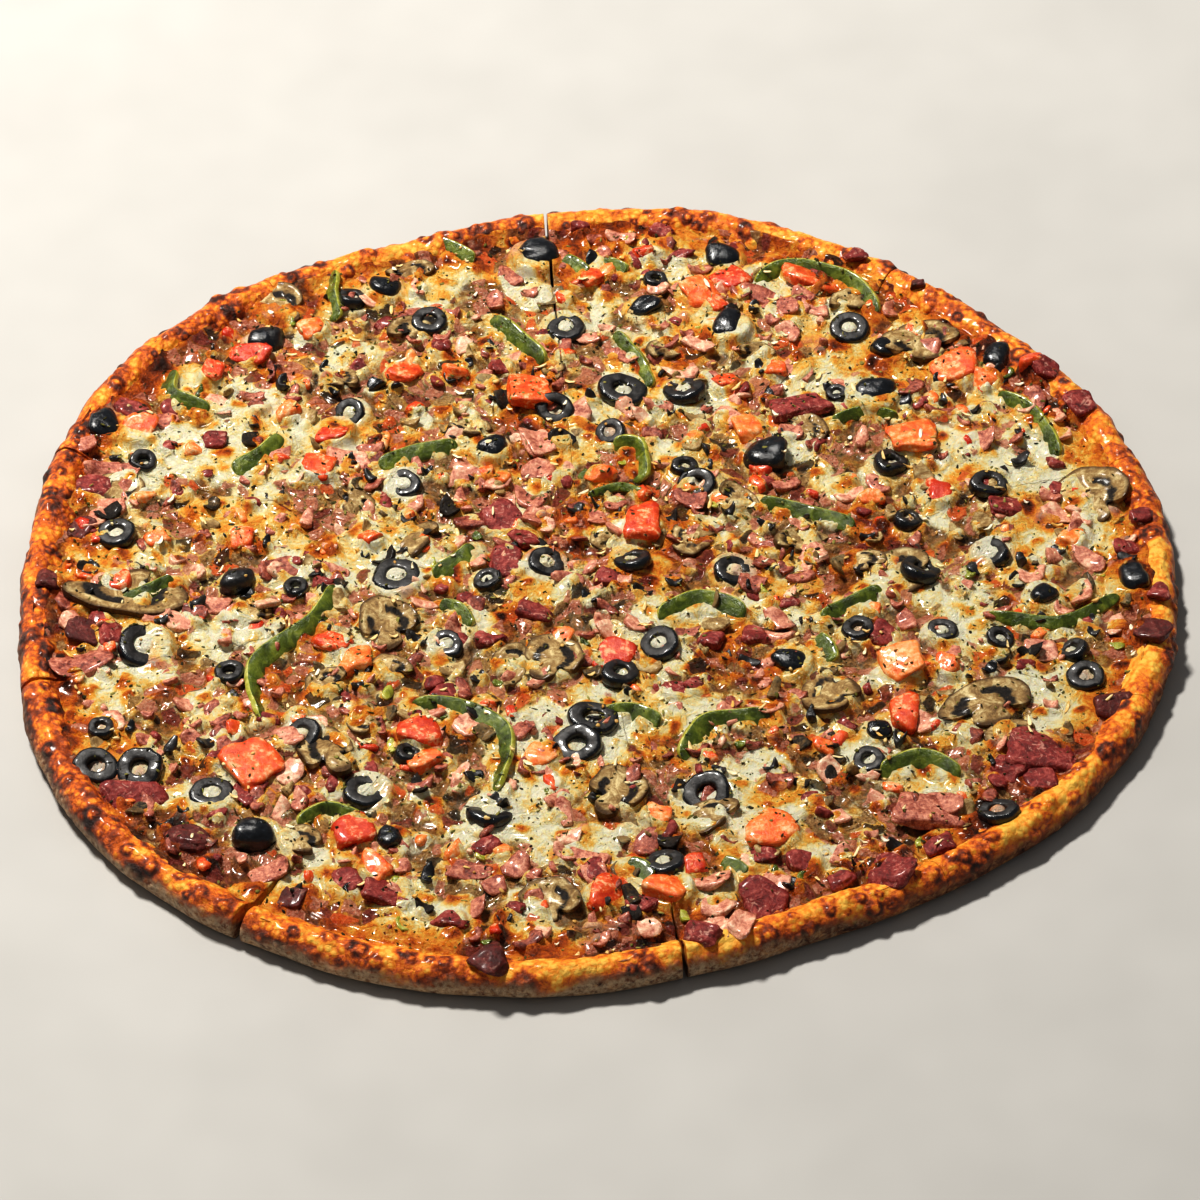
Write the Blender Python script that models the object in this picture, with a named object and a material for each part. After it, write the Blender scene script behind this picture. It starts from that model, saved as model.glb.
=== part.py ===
"""A large loaded pizza on a thin hand-stretched base, cut in ten slices that keep its round shape.

Every slice is two solids: a crust (base and raised rim in one) and the layer of melted cheese
on it, with the small diced toppings fused to the cheese. The larger toppings are solids of
their own that lie on the cheese. Metres, +Z up, the underside at z = 0.
"""
import math
import random

import bmesh
import bpy
from mathutils import Euler, Vector, geometry, noise

MM = 0.001

# The outline: a mean radius and a few waves round the hub where the cuts meet.
# Each wave is (waves per turn, height in mm, angle of one crest in degrees).
MEAN_RADIUS = 197.0
OUTLINE_WAVES = ((1, 1.8, -66), (2, 8.0, 16), (3, 3.4, -6), (4, 2.5, -27), (5, 1.6, -1), (6, 1.5, 26))
HUB = Vector((-6.0, 1.0))
RIM_RIPPLE = 0.8
RIM_RIPPLE_LENGTH = 20.0

# The cuts, in degrees, and how far each one gapes at the rim in mm.
CUTS = ((16, 0.0), (54, 0.6), (94.5, 0.8), (128, 0.0), (162, 1.2), (196, 1.6), (235, 3.0), (280.5, 2.4),
        (310, 0.0), (342, 0.0))
KERF = 0.8

# The rim's section: (inset from the outline, height, share of the bumps), all in mm.
RIM_SECTION = ((3.2, 0.0, 0.0), (0.8, 2.6, 0.2), (0.0, 6.2, 0.5), (1.4, 10.4, 0.9),
               (5.0, 13.0, 1.0), (9.2, 12.0, 1.0), (12.4, 9.2, 0.3), (16.0, 5.0, 0.0))
RIM_BUMP = 1.6
RIM_BUMP_LENGTH = 13.0
STATIONS = 13

# The cheese layer, in mm.
BASE_TOP = RIM_SECTION[-1][1]
CLEARANCE = 0.3
CHEESE_BOTTOM = BASE_TOP + CLEARANCE
CHEESE_TOP = 9.4
CHEESE_LOW = 7.2
CHEESE_LUMP = 2.2
CHEESE_CELL = 9.5
CHEESE_EDGE_TOP = 13.7
CHEESE_EDGE_BOTTOM = 16.6
CHEESE_EDGE_WANDER = 2.5
SEAT = 9.0
LIE = SEAT + CLEARANCE

# Small diced toppings fused to the cheese of each slice.
DICE_PER_SLICE = 6
DICE_SIZE = (3.6, 5.2)
DICE_TRIES = 400

# Olive rings: place x and y, outer radius, lean in degrees, direction of the lean in degrees.
OLIVE_RINGS = ((6, 93, 8.4, 14, 80), (29, 92, 7.3, 10, 200), (33, 45, 6.8, 12, 40),
               (137, 45, 6.8, 20, 300), (134, -115, 7.0, 16, 250), (35, -106, 8.3, 18, 100),
               (-4, -70, 8.2, 12, 10), (20, -139, 7.1, 20, 160), (-157, -94, 8.2, 14, 220))
OLIVE_HEIGHT = 4.6
OLIVE_HOLE = 0.42

# Olive ends and whole olives: place, length, width, height, turn in degrees.
OLIVE_ENDS = ((-127, -4, 13.5, 13.0, 7.5, 10), (-122, 119, 15.0, 13.5, 7.0, 30),
              (44, 165, 14.0, 12.5, 6.5, 0), (-117, -125, 14.0, 16.5, 9.0, 80),
              (58, 60, 18.0, 16.0, 8.5, 50))

# Pepper strips: width, height, then the middle line's points.
PEPPERS = ((6.0, 5.0, ((-93, -6), (-99, -23), (-117, -42), (-119, -56), (-116, -71))),
           (7.4, 5.5, ((-65, -64), (-48, -67), (-34, -79), (-36, -105))),
           (8.0, 5.0, ((28, -90), (38, -74), (58, -70))),
           (4.4, 5.0, ((134, -20), (150, -24), (163, -23), (180, -11))),
           (6.4, 5.5, ((142, 91), (154, 80), (162, 59))),
           (8.4, 4.5, ((20, -23), (35, -15), (50, -21))),
           (4.4, 5.0, ((5, 123), (13, 109), (18, 95))),
           (7.8, 5.0, ((-40, 130), (-30, 118), (-21, 106))),
           (6.0, 4.5, ((56, 36), (72, 30), (89, 24))),
           (6.0, 5.5, ((56, 150), (66, 157), (80, 156), (92, 149), (100, 134))),
           (8.0, 4.5, ((-130, 51), (-120, 58), (-113, 68))),
           (6.0, 5.0, ((-154, 103), (-154, 90), (-140, 83))))

# Mushroom slices: place, width, depth, turn in degrees.
MUSHROOMS = ((-167, -10, 40, 19, 4), (114, 119, 28, 18, -8), (-17, -41, 21, 19, 15),
             (131, -63, 31, 18, -6), (-75, -24, 20, 21, 0), (5, -104, 19, 22, 10),
             (-94, -85, 18, 22, -12))
MUSHROOM_HEIGHT = 4.0

# Tomato, bacon and ham pieces: place, length, width, height, turn in degrees.
TOMATOES = ((-27, 91, 14, 13, 7.0, 20), (109, 67, 17, 12, 6.5, -10), (103, -44, 15, 14, 6.5, 0),
            (-119, -92, 14, 13, 6.0, 35))
BACON = ((149, -86, 20, 14, 5.0, -15), (70, 84, 19, 9, 5.0, 5))
HAM = ((111, -115, 22, 10, 4.5, 8),)

# Colour as red, green, blue, then roughness.
FINISHES = {"baked_crust": ((0.58, 0.27, 0.08), 0.75), "melted_cheese": ((0.80, 0.56, 0.24), 0.45),
            "black_olive": ((0.02, 0.018, 0.018), 0.35), "green_pepper": ((0.13, 0.22, 0.03), 0.35),
            "mushroom": ((0.36, 0.24, 0.13), 0.55), "tomato": ((0.60, 0.09, 0.02), 0.35),
            "bacon": ((0.25, 0.04, 0.02), 0.5), "ham": ((0.62, 0.25, 0.18), 0.5)}


def remove_everything():
    """Empties the scene that Blender starts with."""
    for thing in list(bpy.data.objects):
        bpy.data.objects.remove(thing, do_unlink=True)


def make_materials():
    """One plain Principled material for each kind of food."""
    made = {}
    for name, (colour, roughness) in FINISHES.items():
        material = bpy.data.materials.new(name)
        material.use_nodes = True
        shader = material.node_tree.nodes["Principled BSDF"]
        shader.inputs["Base Color"].default_value = (*colour, 1.0)
        shader.inputs["Roughness"].default_value = roughness
        shader.inputs["Metallic"].default_value = 0.0
        made[name] = material
    return made


def add_solid(name, shape, material, parent, place=(0, 0, 0), turn=(0, 0, 0)):
    """Turns a bmesh in millimetres into a named object in metres, placed under the parent."""
    bmesh.ops.recalc_face_normals(shape, faces=shape.faces)
    bmesh.ops.scale(shape, vec=Vector((MM, MM, MM)), verts=shape.verts)
    mesh = bpy.data.meshes.new(name)
    shape.to_mesh(mesh)
    shape.free()
    mesh.materials.append(material)
    thing = bpy.data.objects.new(name, mesh)
    thing.location = Vector(place) * MM
    thing.rotation_euler = turn
    thing.parent = parent
    bpy.context.collection.objects.link(thing)
    return thing


def heading(degrees):
    """The unit vector that points along an angle."""
    angle = math.radians(degrees)
    return Vector((math.cos(angle), math.sin(angle)))


def outline_radius(degrees):
    """The mean radius plus every wave's cosine and a small ripple, measured from the hub."""
    radius = MEAN_RADIUS
    for count, height, crest in OUTLINE_WAVES:
        radius += height * math.cos(count * math.radians(degrees - crest))
    spot = heading(degrees) * MEAN_RADIUS / RIM_RIPPLE_LENGTH
    return radius + RIM_RIPPLE * noise.noise(Vector((spot.x, spot.y, 2.0)))


class Slice:
    """The plan of one slice: its tip, its two straight sides and its rim."""

    def __init__(self, number):
        start, start_gape = CUTS[number]
        end, end_gape = CUTS[(number + 1) % len(CUTS)]
        if end < start:
            end += 360
        self.start = start + math.degrees(start_gape / 2 / MEAN_RADIUS)
        self.end = end - math.degrees(end_gape / 2 / MEAN_RADIUS)
        middle = heading((self.start + self.end) / 2)
        half_width = math.radians(self.end - self.start) / 2
        self.tip = HUB + middle * (KERF / 2 / math.sin(half_width))
        self.inward_start = heading(self.start + 90)
        self.inward_end = heading(self.end - 90)

    def angle(self, share):
        """The angle at a share from 0 on the first side to 1 on the second."""
        return self.start + share * (self.end - self.start)

    def rim_point(self, share):
        """The outline's point, moved off the side lines by half the kerf."""
        angle = self.angle(share)
        shift = self.inward_start * (1 - share) + self.inward_end * share
        return HUB + heading(angle) * outline_radius(angle) + shift * (KERF / 2)

    def point(self, share, inset):
        """A point at an inset from the rim, on the line from the rim point to the tip."""
        rim = self.rim_point(share)
        return rim + (self.tip - rim).normalized() * inset

    def side_clearance(self, spot):
        """How far a spot lies inside the two sides, the lesser of the two distances."""
        offset = spot - self.tip
        return min(offset.dot(self.inward_start), offset.dot(self.inward_end))


def rim_bump(spot):
    """The bubbles of the rim, from noise over the plan."""
    place = Vector((spot.x / RIM_BUMP_LENGTH, spot.y / RIM_BUMP_LENGTH, 5.0))
    return RIM_BUMP * noise.noise(place)


def crust_shape(piece):
    """The base with its rim: the section is swept along the rim and capped flat above and below."""
    shape = bmesh.new()
    rows = []
    for step in range(STATIONS + 1):
        share = step / STATIONS
        row = []
        for inset, height, bumps in RIM_SECTION:
            spot = piece.point(share, inset)
            row.append(shape.verts.new((spot.x, spot.y, height + bumps * rim_bump(spot))))
        rows.append(row)
    for row, following in zip(rows, rows[1:]):
        for index in range(len(row) - 1):
            shape.faces.new((row[index], following[index], following[index + 1], row[index + 1]))
    tip_below = shape.verts.new((piece.tip.x, piece.tip.y, 0.0))
    tip_above = shape.verts.new((piece.tip.x, piece.tip.y, BASE_TOP))
    shape.faces.new([row[0] for row in rows] + [tip_below])
    shape.faces.new([row[-1] for row in rows] + [tip_above])
    shape.faces.new(rows[0] + [tip_above, tip_below])
    shape.faces.new(rows[-1] + [tip_above, tip_below])
    return shape


class Footprint:
    """The ground that a topping covers: a line of points with a reach to both sides."""

    def __init__(self, points, reach):
        self.points = [Vector(point) for point in points]
        self.reach = reach

    def distance(self, spot):
        """How far a spot lies outside the footprint, negative inside it."""
        if len(self.points) == 1:
            return (spot - self.points[0]).length - self.reach
        nearest = min(segment_distance(spot, one, two) for one, two in zip(self.points, self.points[1:]))
        return nearest - self.reach


def segment_distance(spot, one, two):
    """The distance from a spot to the straight stretch between two points."""
    along = two - one
    share = max(0.0, min(1.0, (spot - one).dot(along) / along.length_squared))
    return (spot - one - along * share).length


def cheese_height(spot, footprints):
    """Uneven melted cheese, from two sizes of noise, kept flat and low under every large topping."""
    wide = noise.noise(Vector((spot.x / 26, spot.y / 26, 3.1)))
    fine = noise.noise(Vector((spot.x / 12, spot.y / 12, 7.7)))
    height = max(CHEESE_LOW, CHEESE_TOP + CHEESE_LUMP * (wide + 0.5 * fine))
    if min(print_.distance(spot) for print_ in footprints) < CHEESE_CELL:
        height = min(height, SEAT)
    return height


def cheese_border(piece):
    """The layer's border as pairs of plan points, above and below, round the slice from its tip."""
    arc = []
    for step in range(STATIONS + 1):
        share = step / STATIONS
        rim = piece.rim_point(share)
        wander = CHEESE_EDGE_WANDER * abs(noise.noise(Vector((rim.x / 16, rim.y / 16, 1.0))))
        arc.append((piece.point(share, CHEESE_EDGE_TOP + wander),
                    piece.point(share, CHEESE_EDGE_BOTTOM + wander)))
    border = [(piece.tip, piece.tip)]
    side_steps = round((arc[0][0] - piece.tip).length / CHEESE_CELL)
    for step in range(1, side_steps):
        share = step / side_steps
        border.append(tuple(piece.tip.lerp(end, share) for end in arc[0]))
    border += arc
    for step in range(side_steps - 1, 0, -1):
        share = step / side_steps
        border.append(tuple(piece.tip.lerp(end, share) for end in arc[-1]))
    return border


def inner_points(piece, border, draw):
    """A triangular lattice with a little jitter, kept clear of the border."""
    above = [pair[0] for pair in border]
    edges = list(zip(above, above[1:] + above[:1]))
    row_height = CHEESE_CELL * math.sqrt(3) / 2
    reach = MEAN_RADIUS * 1.1
    found = []
    for row in range(int(-reach / row_height), int(reach / row_height)):
        for column in range(int(-reach / CHEESE_CELL), int(reach / CHEESE_CELL)):
            spot = Vector(((column + 0.5 * (row % 2)) * CHEESE_CELL, row * row_height))
            spot += Vector((draw.uniform(-1, 1), draw.uniform(-1, 1)))
            near_wedge = piece.side_clearance(spot) > CHEESE_CELL / 2
            if near_wedge and (spot - HUB).length < outline_radius(angle_of(spot)) - CHEESE_EDGE_BOTTOM:
                if min(segment_distance(spot, *edge) for edge in edges) > CHEESE_CELL / 2:
                    found.append(spot)
    return found


def angle_of(spot):
    """The angle of a spot as seen from the hub, in degrees."""
    offset = spot - HUB
    return math.degrees(math.atan2(offset.y, offset.x))


def cheese_shape(piece, footprints, draw):
    """A triangulated uneven top, walls down to the base, and a flat underside."""
    border = cheese_border(piece)
    count = len(border)
    plan = [pair[0] for pair in border] + inner_points(piece, border, draw)
    loop = [(index, (index + 1) % count) for index in range(count)]
    spots, _, triangles, *_ = geometry.delaunay_2d_cdt(plan, loop, [], 1, 1e-4)
    shape = bmesh.new()
    above = [shape.verts.new((spot.x, spot.y, cheese_height(spot, footprints))) for spot in spots]
    for triangle in triangles:
        shape.faces.new([above[index] for index in triangle])
    below = [shape.verts.new((pair[1].x, pair[1].y, CHEESE_BOTTOM)) for pair in border]
    for one, two in loop:
        shape.faces.new((above[one], above[two], below[two], below[one]))
    shape.faces.new(below)
    return shape


def chunk_shape(length, width, height, draw):
    """A diced piece: the hull of a box's corners and of points that bulge over its faces."""
    shape = bmesh.new()
    for east in (-1, 1):
        for north in (-1, 1):
            for level in (0, 1):
                shrink = draw.uniform(0.72, 1.0)
                rise = level * draw.uniform(0.7, 0.95)
                spot = (east * length / 2 * shrink, north * width / 2 * draw.uniform(0.72, 1.0), rise * height)
                shape.verts.new(spot)
    for east, north in ((1, 0), (-1, 0), (0, 1), (0, -1)):
        reach = draw.uniform(0.95, 1.0)
        shape.verts.new((east * length / 2 * reach, north * width / 2 * reach, height * 0.5))
    shape.verts.new((draw.uniform(-1, 1), draw.uniform(-1, 1), height))
    hull = bmesh.ops.convex_hull(shape, input=shape.verts)
    loose = [item for item in hull["geom_interior"] if isinstance(item, bmesh.types.BMVert)]
    bmesh.ops.delete(shape, geom=loose, context="VERTS")
    return shape


def ring_shape(radius):
    """An olive ring: a six-sided section swept round its hole, wider at the waist."""
    hole = radius * OLIVE_HOLE
    section = ((hole, 0.6), (radius * 0.9, 0.0), (radius, OLIVE_HEIGHT * 0.5),
               (radius * 0.9, OLIVE_HEIGHT), (hole, OLIVE_HEIGHT - 0.6))
    sides = 10
    shape = bmesh.new()
    rows = []
    for step in range(sides):
        direction = heading(360 * step / sides)
        rows.append([shape.verts.new((direction.x * out, direction.y * out, up)) for out, up in section])
    for index in range(sides):
        row = rows[index]
        following = rows[(index + 1) % sides]
        for corner in range(len(section)):
            after = (corner + 1) % len(section)
            shape.faces.new((row[corner], following[corner], following[after], row[after]))
    return shape


def olive_end_shape(length, width, height):
    """A rounded olive end: a low dome on a flat cut face."""
    shape = bmesh.new()
    bmesh.ops.create_uvsphere(shape, u_segments=9, v_segments=6, radius=1.0)
    for vert in shape.verts:
        vert.co.x *= length / 2
        vert.co.y *= width / 2
        vert.co.z = max(0.0, vert.co.z * 0.5 + 0.5) * height
    return shape


def strip_shape(width, height, points):
    """A pepper strip: a four-sided section swept along a smooth line, pinched at both ends."""
    line = smooth_line([Vector(point) for point in points], 3)
    shape = bmesh.new()
    rows = []
    for index, spot in enumerate(line):
        before = line[max(index - 1, 0)]
        after = line[min(index + 1, len(line) - 1)]
        across = (after - before).orthogonal().normalized()
        share = index / (len(line) - 1)
        half = width / 2 * (0.7 + 0.3 * math.sin(math.pi * share))
        corners = ((-half, 0.0), (half, 0.0), (half * 0.75, height), (-half * 0.6, height * 0.8))
        rows.append([shape.verts.new((*(spot + across * out), up)) for out, up in corners])
    for row, following in zip(rows, rows[1:]):
        for corner in range(4):
            after = (corner + 1) % 4
            shape.faces.new((row[corner], following[corner], following[after], row[after]))
    shape.faces.new(rows[0])
    shape.faces.new(rows[-1])
    return shape


def smooth_line(points, steps):
    """A curve through the points: each stretch is a Catmull-Rom piece cut in a few steps."""
    padded = [points[0] * 2 - points[1]] + points + [points[-1] * 2 - points[-2]]
    line = []
    for before, one, two, after in zip(padded, padded[1:], padded[2:], padded[3:]):
        for step in range(steps):
            share = step / steps
            line.append(0.5 * (2 * one + (two - before) * share
                               + (2 * before - 5 * one + 4 * two - after) * share ** 2
                               + (3 * one - before - 3 * two + after) * share ** 3))
    line.append(points[-1])
    return line


def mushroom_shape(width, depth):
    """A slice through a mushroom: a domed cap over two gill notches and a stem, cut flat."""
    half = width / 2
    cap_foot = -depth * 0.08
    outline = [(-half, cap_foot)]
    for step in range(1, 8):
        angle = math.pi * (1 - step / 8)
        outline.append((half * math.cos(angle), cap_foot + (depth / 2 - cap_foot) * math.sin(angle)))
    outline += [(half, cap_foot), (half * 0.72, -depth * 0.26), (half * 0.34, -depth * 0.14),
                (half * 0.3, -depth / 2), (-half * 0.26, -depth / 2), (-half * 0.34, -depth * 0.14),
                (-half * 0.74, -depth * 0.24)]
    shape = bmesh.new()
    face = shape.faces.new([shape.verts.new((east, north, 0.0)) for east, north in outline])
    grown = bmesh.ops.extrude_face_region(shape, geom=[face])
    for item in grown["geom"]:
        if isinstance(item, bmesh.types.BMVert):
            item.co.z = MUSHROOM_HEIGHT
            item.co.x *= 0.94
            item.co.y *= 0.94
    return shape


def drop_to_seat(shape, turn):
    """The height at which a turned shape's lowest point meets the seat."""
    frame = Euler(turn).to_matrix()
    return LIE - min((frame @ vert.co).z for vert in shape.verts)


def add_toppings(materials, parent):
    """Makes every large topping as a node and returns the ground that each one covers."""
    draw = random.Random(11)
    footprints = []

    def place(kind, number, shape, material, spot, turn, spine, reach):
        name = f"{kind}_{number:02d}"
        height = drop_to_seat(shape, turn)
        add_solid(name, shape, materials[material], parent, (*spot, height), turn)
        footprints.append(Footprint(spine, reach))

    for number, (east, north, radius, lean, toward) in enumerate(OLIVE_RINGS, 1):
        turn = (math.radians(lean), 0.0, math.radians(toward))
        place("olive_ring", number, ring_shape(radius), "black_olive",
              (east, north), turn, [(east, north)], radius)
    for number, (east, north, length, width, height, turned) in enumerate(OLIVE_ENDS, 1):
        place("olive_end", number, olive_end_shape(length, width, height), "black_olive",
              (east, north), (0.0, 0.0, math.radians(turned)), [(east, north)], max(length, width) / 2)
    for number, (width, height, points) in enumerate(PEPPERS, 1):
        place("pepper_strip", number, strip_shape(width, height, points), "green_pepper",
              (0, 0), (0.0, 0.0, 0.0), points, width / 2 + 1)
    for number, (east, north, width, depth, turned) in enumerate(MUSHROOMS, 1):
        spine = heading(turned) * max(0.1, (width - depth) / 2)
        centre = Vector((east, north))
        place("mushroom_slice", number, mushroom_shape(width, depth), "mushroom", (east, north),
              (0.0, 0.0, math.radians(turned)), [centre - spine, centre + spine], depth * 0.6)
    for kind, material, rows in (("tomato_piece", "tomato", TOMATOES), ("bacon_piece", "bacon", BACON),
                                 ("ham_piece", "ham", HAM)):
        for number, (east, north, length, width, height, turned) in enumerate(rows, 1):
            spine = heading(turned) * max(0.1, (length - width) / 2)
            centre = Vector((east, north))
            place(kind, number, chunk_shape(length, width, height, draw), material, (east, north),
                  (0.0, 0.0, math.radians(turned)), [centre - spine, centre + spine], width * 0.6)
    return footprints


def add_dice(piece, footprints, draw, collection):
    """Scatters small diced pieces over a slice's cheese, clear of cuts, rim and large toppings."""
    placed = []
    for _ in range(DICE_TRIES):
        if len(placed) == DICE_PER_SLICE:
            break
        share = draw.uniform(0.1, 0.9)
        size = draw.uniform(*DICE_SIZE)
        along = math.sqrt(draw.uniform(0.03, 1.0)) * (MEAN_RADIUS - CHEESE_EDGE_BOTTOM - 2 * size)
        spot = piece.tip + heading(piece.angle(share)) * along
        room = piece.side_clearance(spot) > size + 2
        room = room and min(print_.distance(spot) for print_ in footprints) > size + 1.5
        room = room and all((spot - other).length > 2.4 * DICE_SIZE[1] for other in placed)
        inside = (spot - HUB).length < outline_radius(angle_of(spot)) - CHEESE_EDGE_BOTTOM - size - 3
        if room and inside:
            placed.append(spot)
            shape = chunk_shape(2 * size, 1.5 * size, 5.5, draw)
            turn = draw.uniform(0, math.pi)
            bmesh.ops.rotate(shape, verts=shape.verts, matrix=Euler((0, 0, turn)).to_matrix())
            bmesh.ops.recalc_face_normals(shape, faces=shape.faces)
            bmesh.ops.translate(shape, verts=shape.verts, vec=(spot.x, spot.y, CHEESE_TOP - 3.0))
            bmesh.ops.scale(shape, vec=Vector((MM, MM, MM)), verts=shape.verts)
            mesh = bpy.data.meshes.new("dice")
            shape.to_mesh(mesh)
            shape.free()
            collection.objects.link(bpy.data.objects.new("dice", mesh))


def fuse(target, collection):
    """Joins a collection's objects to the target with one Boolean union and removes them."""
    union = target.modifiers.new("fuse", "BOOLEAN")
    union.operation = "UNION"
    union.operand_type = "COLLECTION"
    union.collection = collection
    union.solver = "EXACT"
    view = bpy.context.evaluated_depsgraph_get()
    joined = bpy.data.meshes.new_from_object(target.evaluated_get(view))
    joined.name = target.name
    target.modifiers.clear()
    target.data = joined
    for thing in list(collection.objects):
        bpy.data.objects.remove(thing, do_unlink=True)
    bpy.data.collections.remove(collection)


def centre_on_origin(parent):
    """Moves the parent so that the middle of the whole outline lies over the origin."""
    bpy.context.view_layer.update()
    corners = [child.matrix_world @ Vector(corner) for child in parent.children for corner in child.bound_box]
    for axis in (0, 1):
        values = [corner[axis] for corner in corners]
        parent.location[axis] -= (min(values) + max(values)) / 2


def main():
    """Builds the toppings first, since the cheese is fitted under them."""
    remove_everything()
    materials = make_materials()
    whole = bpy.data.objects.new("pizza", None)
    bpy.context.collection.objects.link(whole)
    footprints = add_toppings(materials, whole)
    for number in range(len(CUTS)):
        piece = Slice(number)
        draw = random.Random(100 + number)
        add_solid(f"crust_slice_{number + 1:02d}", crust_shape(piece), materials["baked_crust"], whole)
        cheese = add_solid(f"cheese_slice_{number + 1:02d}", cheese_shape(piece, footprints, draw),
                           materials["melted_cheese"], whole)
        dice = bpy.data.collections.new("dice")
        bpy.context.scene.collection.children.link(dice)
        add_dice(piece, footprints, draw, dice)
        fuse(cheese, dice)
    centre_on_origin(whole)


main()
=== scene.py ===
# %% [markdown]
# A large pizza, loaded with olives, peppers, mushrooms, tomato, ham and bacon, and cut in ten
# slices that still lie together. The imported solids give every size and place. This script gives
# the looks: baked dough, melted cheese and the toppings that sink into it.
# Everything is worked out in millimetres as numpy arrays and turned into metres at the very end.

# %% Load the frame
import math

import bpy
import numpy as np
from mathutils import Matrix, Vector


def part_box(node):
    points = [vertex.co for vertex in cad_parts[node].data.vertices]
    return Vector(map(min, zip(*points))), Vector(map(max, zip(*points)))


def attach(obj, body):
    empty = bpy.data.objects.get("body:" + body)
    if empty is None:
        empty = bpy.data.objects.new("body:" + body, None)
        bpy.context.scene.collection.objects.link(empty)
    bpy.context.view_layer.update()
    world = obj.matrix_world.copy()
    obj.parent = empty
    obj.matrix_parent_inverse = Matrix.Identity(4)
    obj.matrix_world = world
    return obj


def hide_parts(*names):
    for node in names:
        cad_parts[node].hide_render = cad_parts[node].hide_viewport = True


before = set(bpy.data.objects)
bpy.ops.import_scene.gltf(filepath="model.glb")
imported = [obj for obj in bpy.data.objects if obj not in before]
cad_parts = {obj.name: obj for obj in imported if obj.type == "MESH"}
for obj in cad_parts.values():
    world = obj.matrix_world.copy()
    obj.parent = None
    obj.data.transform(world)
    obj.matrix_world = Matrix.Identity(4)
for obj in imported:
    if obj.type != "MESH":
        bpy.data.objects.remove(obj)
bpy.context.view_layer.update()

MM = 0.001

# %% [markdown]
# The photograph looks down at 45 degrees through a long lens, so near and far toppings are about
# the same size. The camera comes first, because the same numbers turn a place in the photograph
# into a place on the pizza: a ray from the eye through the pixel, cut by the level of the cheese.

# %% Camera
ELEVATION = math.radians(45)
DISTANCE = 2600.0
PIXELS_PER_MM = 2.857
FRAME_PIXELS = 1200
MIDDLE_PIXEL = (601.4, 595.7)
SIGHT_LEVEL = 10.0
SENSOR = 36.0
FAR_CLIP = 20.0

RIGHT = np.array([1.0, 0.0, 0.0])
BACK = np.array([0.0, -math.cos(ELEVATION), math.sin(ELEVATION)])
UP = np.array([0.0, math.sin(ELEVATION), math.cos(ELEVATION)])
SHIFT_RIGHT = (FRAME_PIXELS / 2 - MIDDLE_PIXEL[0]) / PIXELS_PER_MM
SHIFT_UP = (MIDDLE_PIXEL[1] - FRAME_PIXELS / 2) / PIXELS_PER_MM
EYE = RIGHT * SHIFT_RIGHT + UP * SHIFT_UP + BACK * DISTANCE
FOCAL_PIXELS = PIXELS_PER_MM * DISTANCE


def from_photo(pixels):
    """Places on the pizza for pixels of the photograph: the eye plus the ray times its run down to
    the level of the toppings."""
    across = (np.asarray(pixels, float)[..., 0] - FRAME_PIXELS / 2) / FOCAL_PIXELS
    down = (np.asarray(pixels, float)[..., 1] - FRAME_PIXELS / 2) / FOCAL_PIXELS
    ray = -BACK + across[..., None] * RIGHT - down[..., None] * UP
    run = (SIGHT_LEVEL - EYE[2]) / ray[..., 2]
    return (EYE + ray * run[..., None])[..., :2]


def add_camera():
    """A long lens whose frame is as wide as the photograph's, with no depth of field."""
    lens = bpy.data.cameras.new("camera")
    lens.sensor_width = SENSOR
    lens.lens = SENSOR * DISTANCE * PIXELS_PER_MM / FRAME_PIXELS
    lens.clip_end = FAR_CLIP
    camera = bpy.data.objects.new("camera", lens)
    camera.location = EYE * MM
    camera.rotation_euler = (math.pi / 2 - ELEVATION, 0.0, 0.0)
    bpy.context.collection.objects.link(camera)
    bpy.context.scene.camera = camera
    print("lens", round(lens.lens, 1), "mm, eye at", (EYE * MM).round(3))


add_camera()

# %% [markdown]
# Melted and baked surfaces are uneven at every size. A smooth random field does it: a repeatable
# number for each corner of a lattice, blended across the cell, and several sizes added up.
# Blender's own noise lives in materials and modifiers, where numpy can't read it, and the heights
# and the toppings have to agree on one field, so a small one is written here.

# %% Random fields
TWIST = np.array([[0.80, 0.60, 0.00], [-0.48, 0.64, 0.60], [0.36, -0.48, 0.80]])


def lattice(cells, seed):
    """A number from -1 to 1 for each whole-number cell, from its three numbers mixed together."""
    mix = np.full(cells.shape[:-1], (seed * 2654435761) % 2 ** 32, dtype=np.uint32)
    for axis, factor in enumerate((2246822507, 3266489909, 668265263)):
        mix = (mix ^ cells[..., axis].astype(np.uint32)) * np.uint32(factor)
        mix ^= mix >> np.uint32(15)
    return mix.astype(np.float32) / 2 ** 31 - 1.0


def noise(points, size, seed):
    """Smooth random values: the eight corner numbers of a cell blended by 3t^2 - 2t^3 on each axis."""
    scaled = (points @ TWIST) / size
    cells = np.floor(scaled).astype(np.int64)
    part = scaled - cells
    fade = part * part * (3.0 - 2.0 * part)
    total = np.zeros(points.shape[:-1], dtype=np.float32)
    for corner in range(8):
        step = np.array([corner & 1, corner >> 1 & 1, corner >> 2 & 1])
        weight = np.prod(np.where(step, fade, 1.0 - fade), axis=-1)
        total += (weight * lattice(cells + step, seed)).astype(np.float32)
    return total


def layered(points, size, seed, layers=3):
    """Noise plus finer noise, each layer at half the size and half the strength."""
    return sum(noise(points, size / 2 ** layer, seed + 17 * layer) / 2 ** layer
               for layer in range(layers))


def soft_step(values, low, high):
    """0 below low, 1 above high, and 3t^2 - 2t^3 between them."""
    part = np.clip((values - low) / (high - low), 0.0, 1.0)
    return part * part * (3.0 - 2.0 * part)


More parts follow.
